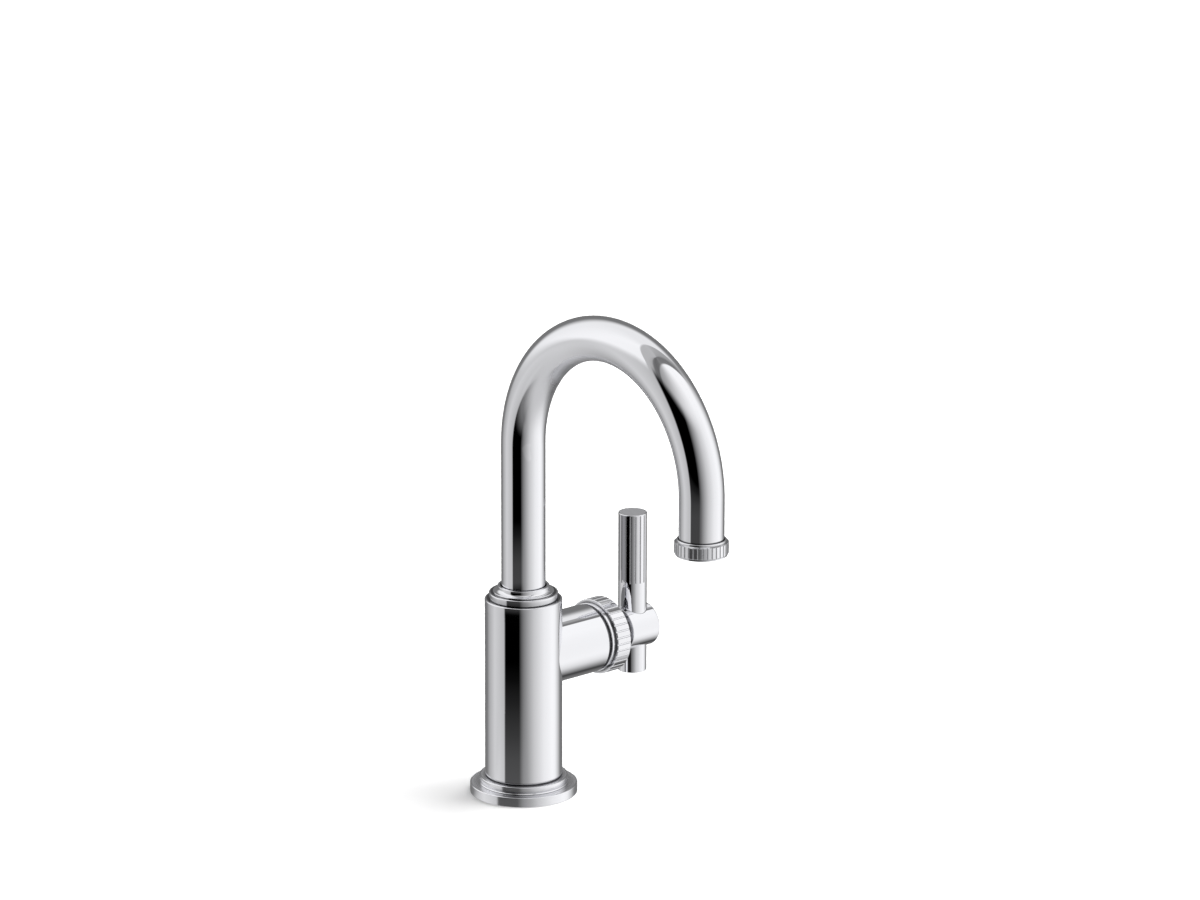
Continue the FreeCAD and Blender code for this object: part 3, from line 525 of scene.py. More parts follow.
def turned(path, angles, most=np.inf, shade=0.0):
    """A profile (r, h, painted shade, satin) carried round the Z axis: (r cos q, r sin q, h, painted shade,
    satin).

    most holds r down, as a flute does, and shade is the painted shade that comes with it.
    """
    full = path[:, :1] * np.ones_like(angles)
    radius = np.minimum(full, most)
    height, recess, satin = (path[:, column, None] * np.ones_like(angles) for column in (1, 2, 3))
    recess = np.maximum(recess, shade * (full > most - WELD))
    return np.stack((radius * np.cos(angles), radius * np.sin(angles), height, recess, satin), -1)


def along_x(grid, height):
    """Points turned from the Z axis to the X direction at this height: (x, y, z) to (z, x, y + height)."""
    return grid[..., [2, 0, 1]] + np.array((0.0, 0.0, height))


def slope(grid, axis, wrap):
    """Difference of the two neighbours of each point, along one way of a grid."""
    if wrap:
        return np.roll(grid, -1, axis) - np.roll(grid, 1, axis)
    return np.gradient(grid, axis=axis)


def facing(grid, wrap_rows, wrap_columns):
    """Unit normals: the slope along the rows crossed with the slope across them.

    A pole takes its neighbours' mean.
    """
    raw = np.cross(slope(grid, 1, wrap_columns), slope(grid, 0, wrap_rows))
    normals = unit(raw)
    for end, inner in ((0, 1), (-1, -2)):
        if np.ptp(grid[end], axis=0).max() < WELD:
            normals[end] = unit(normals[inner].mean(0))
    return normals


def surface(grid, wrap_rows=False, wrap_columns=True, normals=None, away=None):
    """A grid as points, normals, faces and tones. Where away is given, the normals agree with it.

    The grid holds x, y and z, and may go on with the painted shade and satin of each point.
    """
    rows, columns = grid.shape[:2]
    index = np.arange(rows * columns).reshape(rows, columns)
    right, up = np.roll(index, -1, 1), np.roll(index, -1, 0)
    faces = np.stack((index, right, np.roll(right, -1, 0), up), -1)
    faces = faces if wrap_rows else faces[:-1]
    faces = faces if wrap_columns else faces[:, :-1]
    faces = faces.reshape(-1, 4)
    drawn = facing(grid[..., :3], wrap_rows, wrap_columns)
    wanted = drawn if normals is None else normals
    reference = wanted if away is None else away
    if (drawn * reference).sum() < 0:
        faces = faces[:, ::-1]
        wanted = -drawn if normals is None else normals
    tones = grid[..., 3:] if grid.shape[2] == 5 else np.zeros((rows, columns, 2))
    return grid[..., :3].reshape(-1, 3), wanted.reshape(-1, 3), faces, tones.reshape(-1, 2)


def ring_surface(path, angles, *cut):
    """A closed profile carried round the Z axis, with what holds its radius down."""
    return surface(turned(path, angles, *cut), wrap_rows=True)


def moved(shape, move):
    """A surface with its points carried to another place."""
    points, normals, faces, tones = shape
    return points + np.array(move), normals, faces, tones


def laid_along_x(shape, height):
    """A surface turned from the Z axis to the X direction."""
    points, normals, faces, tones = shape
    return along_x(points, height), along_x(normals, 0.0), faces, tones


def make_piece(name, body, slot, surfaces, nodes):
    """Weld surfaces into one mesh with their own normals, and let it stand for its CAD nodes."""
    points = np.concatenate([shape[0] for shape in surfaces])
    normals = np.concatenate([shape[1] for shape in surfaces])
    tones = np.concatenate([shape[3] for shape in surfaces])
    first = np.cumsum([0] + [len(shape[0]) for shape in surfaces[:-1]])
    faces = np.concatenate([shape[2] + start for shape, start in zip(surfaces, first)])
    cells = np.round(points / WELD + CELL_SHIFT).astype(np.int64)
    _, kept, weld = np.unique(cells, axis=0, return_index=True, return_inverse=True)
    corners = weld.reshape(-1)[faces]
    keep = corners != np.roll(corners, 1, axis=1)
    whole = keep.sum(1) > 2
    keep = keep & whole[:, None]
    loops = corners[keep]
    counts = keep.sum(1)[whole]
    mesh = bpy.data.meshes.new(name)
    mesh.vertices.add(len(kept))
    mesh.vertices.foreach_set("co", points[kept].astype(np.float32).ravel())
    mesh.loops.add(len(loops))
    mesh.loops.foreach_set("vertex_index", loops.astype(np.int32))
    mesh.polygons.add(len(counts))
    mesh.polygons.foreach_set("loop_start", (np.cumsum(counts) - counts).astype(np.int32))
    mesh.update(calc_edges=True)
    mesh.shade_smooth()
    mesh.normals_split_custom_set(normals[faces[keep]].tolist())
    # Each point's painted shade and satin become attributes, which the chrome finishes read
    for column, tone in enumerate(("recess", "satin")):
        values = tones[kept, column].astype(np.float32)
        mesh.attributes.new(tone, "FLOAT", "POINT").data.foreach_set("value", values)
    mesh.materials.append(finish(slot))
    made = bpy.data.objects.new(name, mesh)
    bpy.context.scene.collection.objects.link(made)
    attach(made, body)
    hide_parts(*nodes)
    return made


def border(low, high, across, up):
    """Points round a rectangle, anticlockwise, with this many on each side."""
    step_s = np.arange(across) / across
    step_t = np.arange(up) / up
    s = np.concatenate((step_s, np.ones(up), 1 - step_s, np.zeros(up)))
    t = np.concatenate((np.zeros(across), step_t, np.ones(across), 1 - step_t))
    return np.stack((low[0] + s * (high[0] - low[0]), low[1] + t * (high[1] - low[1])), -1)


def pierced(edge, middle, reach, rim, rings):
    """Flat grid between a hole and the border round it: rim + f (border - rim), with f from 0 to 1.

    The steps of f are closer together at the hole. Each border point looks at the hole's middle, and the
    angle w of that line, measured in the hole's own reach along each way, picks the point rim(w) that it
    is joined to.
    """
    look = (edge - middle) / reach
    angle = np.arctan2(look[:, 1], look[:, 0])
    start = np.stack(rim(angle), -1)
    f = (np.linspace(0, 1, rings + 1) ** CROWDING)[:, None, None]
    return start + f * (edge - start), angle


def toned(grid, recess):
    """A grid with the painted shade of its points, and no satin."""
    return np.concatenate((grid, recess[..., None], np.zeros_like(recess)[..., None]), axis=-1)


def rolled(flat, radius):
    """Lay a flat grid (angle, height) on a cylinder round the Z axis. Gives its points and normals."""
    angle, height = flat[..., 0], flat[..., 1]
    normals = np.stack((np.cos(angle), np.sin(angle), np.zeros_like(angle)), -1)
    points = radius * normals
    points[..., 2] = height
    return points, normals


class FAUCET_OT_base(bpy.types.Operator):
    """Turn the flange on the deck and the step ring that stands on it"""

    bl_idname = "faucet.base"
    bl_label = "Flange and step ring"

    def execute(self, context):
        size = context.scene.faucet_sizes
        angles = round_angles(ROUND)
        _, plate = span("base_plate")
        _, gasket = span("deck_gasket")
        gap = BROKEN / 2
        flange = ring_surface(rounded([
            (plate[0], 0, 2 * BROKEN),
            (plate[0], plate[2], size.ring_edge),
            (plate[0] - 2 * size.ring_edge, plate[2], 0, 0, SATIN),
            (span("step_ring")[1][0] + size.step_lip + size.ring_edge, plate[2], 0, 0, SATIN / 3),
            (size.flange_bore, plate[2], BROKEN, 0, SATIN / 3),
            (size.flange_bore, 0, BROKEN),
            (size.gasket_bore - gap, 0, BROKEN),
            (size.gasket_bore - gap, gasket[2], BROKEN),
            (gasket[0] + gap, gasket[2], BROKEN),
            (gasket[0] + gap, 0, BROKEN),
        ]), angles)
        make_piece("flange", "fixed", "turned_chrome", [flange], ["base_plate"])
        low, high = span("step_ring")
        step = ring_surface(rounded([
            (high[0] + size.step_lip, low[2], BROKEN / 4, GAP_SHADE),
            (high[0] + size.step_lip, low[2] + size.step_lip, BROKEN / 4),
            (high[0], low[2] + 2 * size.step_lip, BROKEN / 4),
            (high[0], low[2] + 3 * size.step_lip, 0, STEP_SHADE),
            (high[0], high[2] - 2 * size.ring_edge, 0),
            (high[0], high[2], size.ring_edge),
            (high[0] - 2 * size.ring_edge, high[2], 0, 0, SATIN),
            (size.flange_bore, high[2], BROKEN, GAP_SHADE),
            (size.flange_bore, low[2], BROKEN),
        ]), angles)
        make_piece("stepped_ring", "fixed", "turned_chrome", [step], ["step_ring"])
        return {"FINISHED"}


class FAUCET_OT_body(bpy.types.Operator):
    """Turn the barrel and join the side arm to it along their common curve"""

    bl_idname = "faucet.body"
    bl_label = "Body"

    BAND = 1.45  # half the height of the band of the barrel that the arm joins, in radii of the arm
    RINGS = 14  # from the arm to the border of that band

    def execute(self, context):
        size = context.scene.faucet_sizes
        low, high = span("valve_body")
        bonnet_low, bonnet_high = span("bonnet_ring")
        height = (bonnet_low[2] + bonnet_high[2]) / 2
        barrel = -low[0]
        step = span("step_ring")[1][2]
        bottom = step + size.shadow_gap
        shadow = barrel - size.shadow_depth
        band = self.BAND * size.arm
        wall = rounded([
            (barrel, height + band, 0),
            (barrel, high[2], size.edge),
            (barrel - 2 * size.edge, high[2], 0, GAP_SHADE),
            (size.socket, high[2], BROKEN, GAP_SHADE),
            (size.socket, low[2], BROKEN),
            (size.spigot, low[2], BROKEN),
            (size.spigot, step, BROKEN, GAP_SHADE),
            (shadow, step, BROKEN, GAP_SHADE),
            (shadow, bottom, BROKEN, GAP_SHADE),
            (barrel, bottom, size.edge, GAP_SHADE / 2),
            (barrel, bottom + 2 * size.edge, 0),
            (barrel, height - band, 0),
        ], closed=False)
        angles = round_angles(ROUND)
        surfaces = [surface(turned(wall, angles))]

        def rim(w):
            """Where the arm meets the barrel: y = Ra cos w = Rb sin(angle), z = Ra sin w."""
            return np.arcsin(size.arm * np.cos(w) / barrel), height + size.arm * np.sin(w)

        edge = border((-math.pi, height - band), (math.pi, height + band), ROUND, ROUND // 4)
        reach = (math.asin(size.arm / barrel), size.arm)
        flat, turn = pierced(edge, (0.0, height), reach, rim, self.RINGS)
        points, normals = rolled(flat, barrel)
        surfaces.append(surface(points, normals=normals))
        sleeve = rounded([
            (size.arm, 0, 0),
            (size.arm, high[0], size.edge),
            (size.arm_bore, high[0], BROKEN),
            (size.arm_bore, barrel, BROKEN),
            (0, barrel, 0),
        ], closed=False)
        arm = turned(sleeve, turn)
        arm[0, :, 2] = np.sqrt(barrel ** 2 - (size.arm * np.cos(turn)) ** 2)
        outward = np.zeros_like(arm[..., :3])
        outward[1, :, :2] = arm[1, :, :2]
        surfaces.append(laid_along_x(surface(arm, away=outward), height))
        make_piece("body_shell", "fixed", "polished_chrome", surfaces, ["valve_body"])
        return {"FINISHED"}


class FAUCET_OT_spout_seat(bpy.types.Operator):
    """Turn the collar on the barrel and the hollow-curved nut round the foot of the spout"""

    bl_idname = "faucet.spout_seat"
    bl_label = "Collar and spout nut"

    def execute(self, context):
        size = context.scene.faucet_sizes
        angles = round_angles(ROUND)
        low, high = span("collar_ring")
        collar = ring_surface(rounded([
            (high[0], low[2], BROKEN, GAP_SHADE),
            (high[0], low[2] + size.ring_edge, 0, COLLAR_SHADE),
            (high[0], high[2] - 2 * size.ring_edge, 0, COLLAR_SHADE / 2),
            (high[0], high[2], size.ring_edge),
            (high[0] - 2 * size.ring_edge, high[2], 0, GAP_SHADE),
            (size.socket, high[2], BROKEN, GAP_SHADE),
            (size.socket, low[2], BROKEN),
        ]), angles)
        make_piece("collar", "fixed", "polished_chrome", [collar], ["collar_ring"])
        nut_low, nut_high = span("spout_nut")
        ledge = high[2] + size.cove_foot
        nut = ring_surface(rounded([
            (size.nut_skirt, nut_low[2], BROKEN),
            (size.nut_skirt, high[2], BROKEN),
            (nut_high[0], high[2], BROKEN),
            (nut_high[0], ledge, size.cove_edge),
            (size.cove_top, ledge, size.cove),
            (size.cove_top, nut_high[2], size.cove_edge),
            (size.nut_bore + 2 * size.cove_edge, nut_high[2], 0),
            (size.nut_bore, nut_high[2], size.cove_edge, GAP_SHADE),
            (size.nut_bore, nut_low[2], BROKEN, GAP_SHADE),
        ]), angles)
        make_piece("coved_nut", "fixed", "polished_chrome", [nut], ["spout_nut"])
        return {"FINISHED"}


class FAUCET_OT_spout(bpy.types.Operator):
    """Bend the gooseneck tube"""

    bl_idname = "faucet.spout"
    bl_label = "Spout tube"

    WALL_STEPS = 180  # along the bend of the outer wall
    BORE_STEPS = 60  # along the bend of the bore

    def execute(self, context):
        size = context.scene.faucet_sizes
        low, high = span("spout_tube")
        radius = high[0]
        bend = (high[1] - low[1]) / 2 - radius
        bend_height = high[2] - bend - radius
        end = span("aerator_ring")[1][2] - size.outlet_grip
        seam = span("aerator_ring")[1][2]
        tail = (seam + size.outlet_seam, seam + 0.6 * size.outlet_seam, end)
        tube = self.run(radius, bend, bend_height, low[2], tail, self.WALL_STEPS)
        bore = self.run(radius - size.tube_wall, bend, bend_height, low[2], (end,), self.BORE_STEPS)
        shade, satin = np.zeros((2, *tube.shape[:2]))
        # Painted shade on the seam over the outlet ring and on the tube inside it
        shade[-2:] = GAP_SHADE
        inside = np.clip(-np.cos(round_angles(ROUND // 2)), 0, 1)
        satin[1:-3] = BEND_SATIN * np.sin(np.linspace(0, math.pi, len(tube) - 4))[:, None] * inside
        outside = np.concatenate((tube, shade[..., None], satin[..., None]), axis=-1)
        grid = np.concatenate((outside, toned(bore[::-1], np.zeros(bore.shape[:2]))))
        shape = surface(grid, wrap_rows=True)
        make_piece("gooseneck", "spout", "polished_chrome", [shape], ["spout_tube"])
        return {"FINISHED"}

    def run(self, radius, bend, bend_height, start, tail, steps):
        """A round wall along the tube's line: up, half a turn of the bend, and down to the outlet.

        Round the bend by p, the line is (0, B cos p - B, H + B sin p), and the wall lies on the circle
        line + r (n cos q - x sin q), with n = (0, cos p, sin p) and x the X direction.
        """
        p = np.linspace(0, math.pi, steps + 1)
        rise = np.concatenate(([start], bend_height + bend * np.sin(p), tail))
        p = np.concatenate(([0.0], p, np.full(len(tail), math.pi)))
        line = np.stack((np.zeros_like(p), bend * np.cos(p) - bend, rise), -1)
        out = np.stack((np.zeros_like(p), np.cos(p), np.sin(p)), -1)
        q = round_angles(ROUND // 2)[None, :, None]
        side = np.array((1.0, 0.0, 0.0))
        return line[:, None] + radius * (out[:, None] * np.cos(q) - side * np.sin(q))


class FAUCET_OT_outlet(bpy.types.Operator):
    """Turn and flute the ring on the outlet"""

    bl_idname = "faucet.outlet"
    bl_label = "Outlet ring"

    STEP = 0.3 * MM  # longest step along the profile
    EDGE_STEPS = 5  # points on each rounded edge

    def execute(self, context):
        size = context.scene.faucet_sizes
        low, high = span("aerator_ring")
        radius = high[0]
        tube = span("spout_tube")[1][0]
        end = high[2] - size.outlet_grip
        shelf = low[2] + size.outlet_lip
        path = rounded([
            (radius - size.outlet_inset, low[2], 2 * BROKEN),
            (radius - size.outlet_inset, low[2] + size.outlet_foot - 2 * BROKEN, BROKEN, OUTLET_SHADE),
            (radius, low[2] + size.outlet_foot, BROKEN),
            (radius, high[2] - size.outlet_top, BROKEN),
            (radius - 2 * BROKEN, high[2] - size.outlet_top + BROKEN, BROKEN, 0.75 * OUTLET_SHADE),
            (tube + size.outlet_bead + BROKEN, high[2] - 0.6 * size.outlet_top, 2 * BROKEN, OUTLET_SHADE),
            (tube + size.outlet_bead, high[2], 4 * BROKEN),
            (tube + 3 * BROKEN, high[2], BROKEN),
            (tube + BROKEN / 3, high[2] - 4 * BROKEN, BROKEN / 2, GAP_SHADE),
            (tube + BROKEN / 3, end, BROKEN, GAP_SHADE),
            (size.outlet_cup, end, BROKEN),
            (size.outlet_cup, shelf, BROKEN),
            (size.outlet_mouth, shelf, BROKEN),
            (size.outlet_mouth, low[2], BROKEN),
        ], steps=self.EDGE_STEPS)
        path = divided(path, self.STEP)
        ring = ring_surface(path, *fluted(radius, size.outlet_flute, size.ring_flutes))
        middle = (0.0, (low[1] + high[1]) / 2, 0.0)
        make_piece("outlet_ring", "spout", "polished_chrome", [moved(ring, middle)], ["aerator_ring"])
        return {"FINISHED"}


class FAUCET_OT_bonnet(bpy.types.Operator):
    """Turn and flute the bonnet ring on the end of the arm"""

    bl_idname = "faucet.bonnet"
    bl_label = "Bonnet ring"

    STEP = 0.6 * MM  # longest step along the profile
    EDGE_STEPS = 7  # points on each rounded edge
    SHELF = 1.6  # depth of the face at the end of the flutes, in radii of a flute

    def execute(self, context):
        size = context.scene.faucet_sizes
        low, high = span("bonnet_ring")
        height = (low[2] + high[2]) / 2
        radius = high[1]
        arm_end = span("valve_body")[1][0]
        neck_end = arm_end + size.bonnet_neck_length
        collar_end = neck_end + size.bonnet_collar_length
        bore = size.hub_neck + BROKEN / 3
        shelf = radius - self.SHELF * size.bonnet_flute
        path = rounded([
            (size.bonnet_thread, low[0], BROKEN),
            (size.bonnet_thread, arm_end, BROKEN, GAP_SHADE),
            (size.bonnet_neck, arm_end, BROKEN, GAP_SHADE),
            (size.bonnet_neck, neck_end, BROKEN, GAP_SHADE),
            (size.bonnet_collar, neck_end, size.bonnet_edge),
            (size.bonnet_collar, collar_end - size.bonnet_edge, 0),
            (size.bonnet_collar, collar_end, BROKEN, GAP_SHADE),
            (radius, collar_end, size.bonnet_edge),
            (radius, high[0], size.bonnet_edge),
            (bore + 2 * size.bonnet_edge, high[0], 0),
            (bore, high[0], 2 * BROKEN, GAP_SHADE),
            (bore, low[0], BROKEN),
        ], steps=self.EDGE_STEPS)
        path = divided(path, self.STEP)
        # The ends of the flutes need a face with no point between their floor and the collar
        path = path[(path[:, 0] > shelf) | (path[:, 0] < size.bonnet_collar + BROKEN)]
        ring = ring_surface(path, *fluted(radius, size.bonnet_flute, size.ring_flutes))
        make_piece("fluted_bonnet", "fixed", "polished_chrome", [laid_along_x(ring, height)], ["bonnet_ring"])
        return {"FINISHED"}


class FAUCET_OT_hub(bpy.types.Operator):
    """Turn the hub's neck and head, with the holes for the lever and two grub screws"""

    bl_idname = "faucet.hub"
    bl_label = "Handle hub"

    SIDE = 24  # points on each side of a quarter of the wall
    RINGS = 8  # from a hole to the border of its quarter

    def execute(self, context):
        size = context.scene.faucet_sizes
        low, high = span("handle_hub")
        radius, neck = high[1], size.hub_neck
        height = (low[2] + high[2]) / 2
        lever_low, lever_high = span("lever_bar")
        lever = (lever_low[0] + lever_high[0]) / 2
        bore = (lever, (lever_high[0] - lever_low[0]) / 2 + BROKEN / 3, 0.0)
        screw_low, screw_high = span("handle_set_screw")
        screw = (screw_low[0] + screw_high[0]) / 2
        head = lever_low[0] - size.hub_wall
        first, last = head + 2 * size.hub_inner_edge, high[0] - size.hub_edge
        neck_last = head - size.hub_inner_edge
        neck_first = 2 * screw - neck_last
        start = [(0, low[0], 0), (neck, low[0], BROKEN), (neck, neck_first, 0)]
        shoulder = [
            (neck, neck_last, 0),
            (neck, head, BROKEN, GAP_SHADE),
            (radius - 1.2 * size.hub_inner_edge, head, 0, HEAD_SHADE),
            (radius, head, size.hub_inner_edge),
            (radius, first, 0),
        ]
        end = [(radius, last, 0), (radius, high[0], size.hub_edge), (0, high[0], 0)]
        angles = round_angles(4 * self.SIDE, -QUARTER / 2)
        surfaces = [
            laid_along_x(surface(turned(rounded(corners, closed=False, steps=2 * ARC_STEPS), angles)), height)
            for corners in (start, shoulder, end)
        ]
        neck_screw = (screw, size.screw, screw_high[1] - size.screw)
        lever_screw = (lever, size.screw, span("lever_set_screw")[1][1] - size.screw)
        stretches = (
            (neck_first, neck_last, neck, (neck_screw, None, None, None)),
            (first, last, radius, (lever_screw, bore, None, bore)),
        )
        for near, far, wide, holes in stretches:
            for quarter, hole in enumerate(holes):
                facing_angle = quarter * QUARTER
                if hole is None:
                    surfaces.append(self.plain(near, far, facing_angle, wide, height))
                else:
                    surfaces += self.holed(near, far, facing_angle, wide, height, size.hole_lip, *hole)
        make_piece("hub", "handle", "polished_chrome", surfaces, ["handle_hub"])
        return {"FINISHED"}

    def wall(self, along, angle, radius, height):
        """The hub's wall: (x, R cos a, R sin a + axis), with its normals."""
        normals = np.stack((np.zeros_like(angle), np.cos(angle), np.sin(angle)), -1)
        points = radius * normals + np.array((0.0, 0.0, height))
        points[..., 0] = along
        return points, normals

    def plain(self, near, far, facing_angle, radius, height):
        """A quarter of the wall with no hole."""
        steps = np.linspace(0, 1, self.SIDE + 1)
        along, angle = np.meshgrid(near + steps * (far - near), facing_angle + (steps - 0.5) * QUARTER)
        points, normals = self.wall(along, angle, radius, height)
        return surface(points, wrap_columns=False, normals=normals)

    def holed(self, near, far, facing_angle, radius, height, lip, place, hole, floor):
        """A quarter of the wall round a hole, the hole's rounded rim, and its bore.

        The rim is where a bar of the hole's radius meets the wall: x = place + r cos w, and r sin w = R sin a
        with a measured from the hole's own axis. Inside it the radius falls by the lip while the depth grows
        by it. The bore ends in a floor this far from the hub's axis, and at 0 it is open and meets the bore
        from the other side.
        """
        wide = hole + lip

        def rim(w):
            return place + wide * np.cos(w), facing_angle + np.arcsin(wide * np.sin(w) / radius)

        half = QUARTER / 2
        edge = border((near, facing_angle - half), (far, facing_angle + half), self.SIDE, self.SIDE)
        reach = (wide, math.asin(wide / radius))
        flat, turn = pierced(edge, (place, facing_angle), reach, rim, self.RINGS)
        points, normals = self.wall(flat[..., 0], flat[..., 1], radius, height)
        skin = surface(points, normals=normals)
        sweep = np.linspace(0, QUARTER, 5)[:, None]
        ring = hole + lip * (1 - np.sin(sweep)) * np.ones_like(turn)
        depth = np.sqrt(radius ** 2 - (ring * np.sin(turn)) ** 2) - lip * (1 - np.cos(sweep))
        inner = np.stack((ring[-1], 0 * ring[-1]) if floor else (ring[-1],))
        ring = np.concatenate((ring, inner))
        depth = np.concatenate((depth, np.full_like(inner, floor)))
        out = np.array((0.0, math.cos(facing_angle), math.sin(facing_angle)))
        aside = np.array((0.0, -math.sin(facing_angle), math.cos(facing_angle)))
        centre = np.array((place, 0.0, height))
        across = np.cos(turn)[:, None] * np.array((1.0, 0.0, 0.0)) + np.sin(turn)[:, None] * aside
        bore = centre + ring[..., None] * across + depth[..., None] * out
        inward = np.broadcast_to(out - across, bore.shape)
        # The bore gets the full painted shade
        return [skin, surface(toned(bore, np.full_like(ring, GAP_SHADE)), away=inward)]


class FAUCET_OT_lever(bpy.types.Operator):
    """Turn the lever bar and flute its upper part"""

    bl_idname = "faucet.lever"
    bl_label = "Lever bar"

    RUN_OUT = 0.12 * MM  # length over which a flute reaches its depth

    def execute(self, context):
        size = context.scene.faucet_sizes
        low, high = span("lever_bar")
        hub_low, hub_high = span("handle_hub")
        axis = (hub_low[2] + hub_high[2]) / 2
        radius = high[1]
        first = axis + size.lever_plain
        last = high[2] - size.lever_band
        path = rounded([
            (0, low[2], 0),
            (radius, low[2], size.lever_edge),
            (radius, high[2], size.lever_edge),
            (radius - 2 * size.lever_edge, high[2], 0, 0, 1),
            (0, high[2], 0, 0, 1),
        ], closed=False)
        ramp = np.linspace(0, self.RUN_OUT, 4)
        heights = np.concatenate((first + ramp, last - ramp[::-1]))
        foot = 1 + ARC_STEPS
        plain = np.zeros_like(heights)
        run = np.stack((plain + radius, heights, plain, plain), -1)
        path = np.concatenate((path[:foot], run, path[foot:]))
        angles, left, shade = fluted(radius, size.lever_flute, size.lever_flutes)
        cut = np.clip(np.minimum(path[:, 1] - first, last - path[:, 1]) / self.RUN_OUT, 0, 1)
        cut = np.sin(cut * QUARTER)[:, None]
        bar = surface(turned(path, angles, radius - cut * (radius - left), cut * shade))
        middle = ((low[0] + high[0]) / 2, 0.0, 0.0)
        make_piece("lever", "handle", "polished_chrome", [moved(bar, middle)], ["lever_bar"])
        return {"FINISHED"}


def washer(name, node, body, slot, bore, edge):
    """A flat ring with rounded edges, in the place of a CAD ring."""
    low, high = span(node)
    ring = ring_surface(rounded([
        (high[0], low[2], edge),
        (high[0], high[2], edge),
        (bore, high[2], edge),
        (bore, low[2], edge),
    ]), round_angles(ROUND // 2))
    make_piece(name, body, slot, [ring], [node])


def screwed(radius, depth, pitch, low, high, bore):
    """A threaded tube: the outer radius at angle q and height h is R - d (1 - cos(2 pi h / p - q)) / 2."""
    height = np.linspace(low, high, THREAD_STEPS * int((high - low) / pitch))[:, None]
    angles = round_angles(THREAD_ROUND)
    fade = np.clip(np.minimum(height - low, high - height) / pitch, 0, 1)
    wave = (1 - np.cos(FULL_TURN * height / pitch - angles)) / 2
    outer = radius - depth * (wave * fade + (1 - fade))
    wall = np.stack((outer * np.cos(angles), outer * np.sin(angles), height * np.ones_like(angles)), -1)
    inside = turned(np.array(((bore, high, 0, 0), (bore, low, 0, 0))), angles)
    return surface(np.concatenate((wall, inside[..., :3])), wrap_rows=True)


def hexagon_angles(flats):
    """Angles round a hexagon, close together at its corners, and the radius at each.

    The radius is (flats / 2) / cos a with a from the middle of a side, held in a little at the corners.
    """
    half_side = math.pi / 6
    part = np.array((-1.0, -0.985, -0.94, -0.8, -0.5, 0.0, 0.5, 0.8, 0.94, 0.985)) * half_side
    angles = (round_angles(6)[:, None] + part).ravel()
    reach = np.minimum(flats / 2 / np.cos(part), flats / 2 / math.cos(half_side) - 2 * BROKEN)
    return angles, np.tile(reach, 6)


class FAUCET_OT_under_deck(bpy.types.Operator):
    """Make the shank, its clamp and the inlet under the deck"""

    bl_idname = "faucet.under_deck"
    bl_label = "Shank, clamp and inlet"

    STEP = 0.4 * MM  # longest step along a hexagon's profile

    def execute(self, context):
        size = context.scene.faucet_sizes
        washer("deck_seal", "deck_gasket", "fixed", "black_rubber", size.gasket_bore, 3 * BROKEN)
        washer("clamp_seal", "clamp_gasket", "clamp", "black_rubber", size.clamp_bore, 5 * BROKEN)
        washer("clamp_plate", "clamp_washer", "clamp", "stainless_steel", size.clamp_bore, 2 * BROKEN)
        washer("inlet_seal", "inlet_washer", "fixed", "red_fibre", size.shank_bore, 2 * BROKEN)
        low, high = span("shank")
        shank = screwed(high[0], size.thread_depth, size.thread_pitch, low[2], high[2], size.shank_bore)
        make_piece("threaded_shank", "fixed", "machined_brass", [shank], ["shank"])
        self.nut(size, high[0] + BROKEN / 2)
        self.nipple(size)
        return {"FINISHED"}

    def nut(self, size, bore):
        """The mounting nut: a hexagon held in by a cone at each end."""
        low, high = span("mounting_nut")
        flats = 2 * min(high[0], high[1])
        angles, reach = hexagon_angles(flats)
        tip = reach.max()
        path = rounded([
            (tip - size.nut_edge, low[2], BROKEN),
            (tip, low[2] + size.nut_edge, BROKEN),
            (tip, high[2] - size.nut_edge, BROKEN),
            (tip - size.nut_edge, high[2], BROKEN),
            (bore, high[2], 4 * BROKEN),
            (bore, low[2], 4 * BROKEN),
        ])
        path = divided(path, self.STEP)
        shape = ring_surface(path, angles, reach)
        make_piece("hexagon_nut", "nut", "machined_brass", [shape], ["mounting_nut"])

    def nipple(self, size):
        """The inlet: a plug in the shank, a hexagon and a threaded end, with a bore through them."""
        low, high = span("inlet_nipple")
        seat = span("inlet_washer")[0][2]
        hexagon_low = seat - size.nipple_hex
        angles, reach = hexagon_angles(size.nipple_flats)
        tip = reach.max()
        path = rounded([
            (tip - 4 * BROKEN, hexagon_low, BROKEN),
            (tip, hexagon_low + 4 * BROKEN, BROKEN),
            (tip, seat - 4 * BROKEN, BROKEN),
            (tip - 4 * BROKEN, seat, BROKEN),
            (size.shank_bore - BROKEN / 2, seat, BROKEN),
            (size.shank_bore - BROKEN / 2, high[2], 3 * BROKEN),
            (size.nipple_bore, high[2], BROKEN),
            (size.nipple_bore, hexagon_low, BROKEN),
        ])
        path = divided(path, self.STEP)
        head = ring_surface(path, angles, reach)
        tail = screwed(size.nipple_thread, size.thread_depth, size.nipple_pitch, low[2], hexagon_low,
                       size.nipple_bore)
        make_piece("inlet_fitting", "fixed", "machined_brass", [head, tail], ["inlet_nipple"])


class FAUCET_OT_inner(bpy.types.Operator):
    """Give the CAD pieces that stay, most of them inside, the finish of their slot"""

    bl_idname = "faucet.inner"
    bl_label = "Inner pieces"

    def execute(self, context):
        slots = {entry["node"]: entry["material_slot"] for entry in frame["record"]["subparts"]}
        for name, node in frame["nodes"].items():
            if not node.hide_render:
                node.data.materials.clear()
                node.data.materials.append(finish(slots[name]))
        return {"FINISHED"}


def cosine(degrees):
    """Cosine of an angle in degrees."""
    return math.cos(math.radians(degrees))


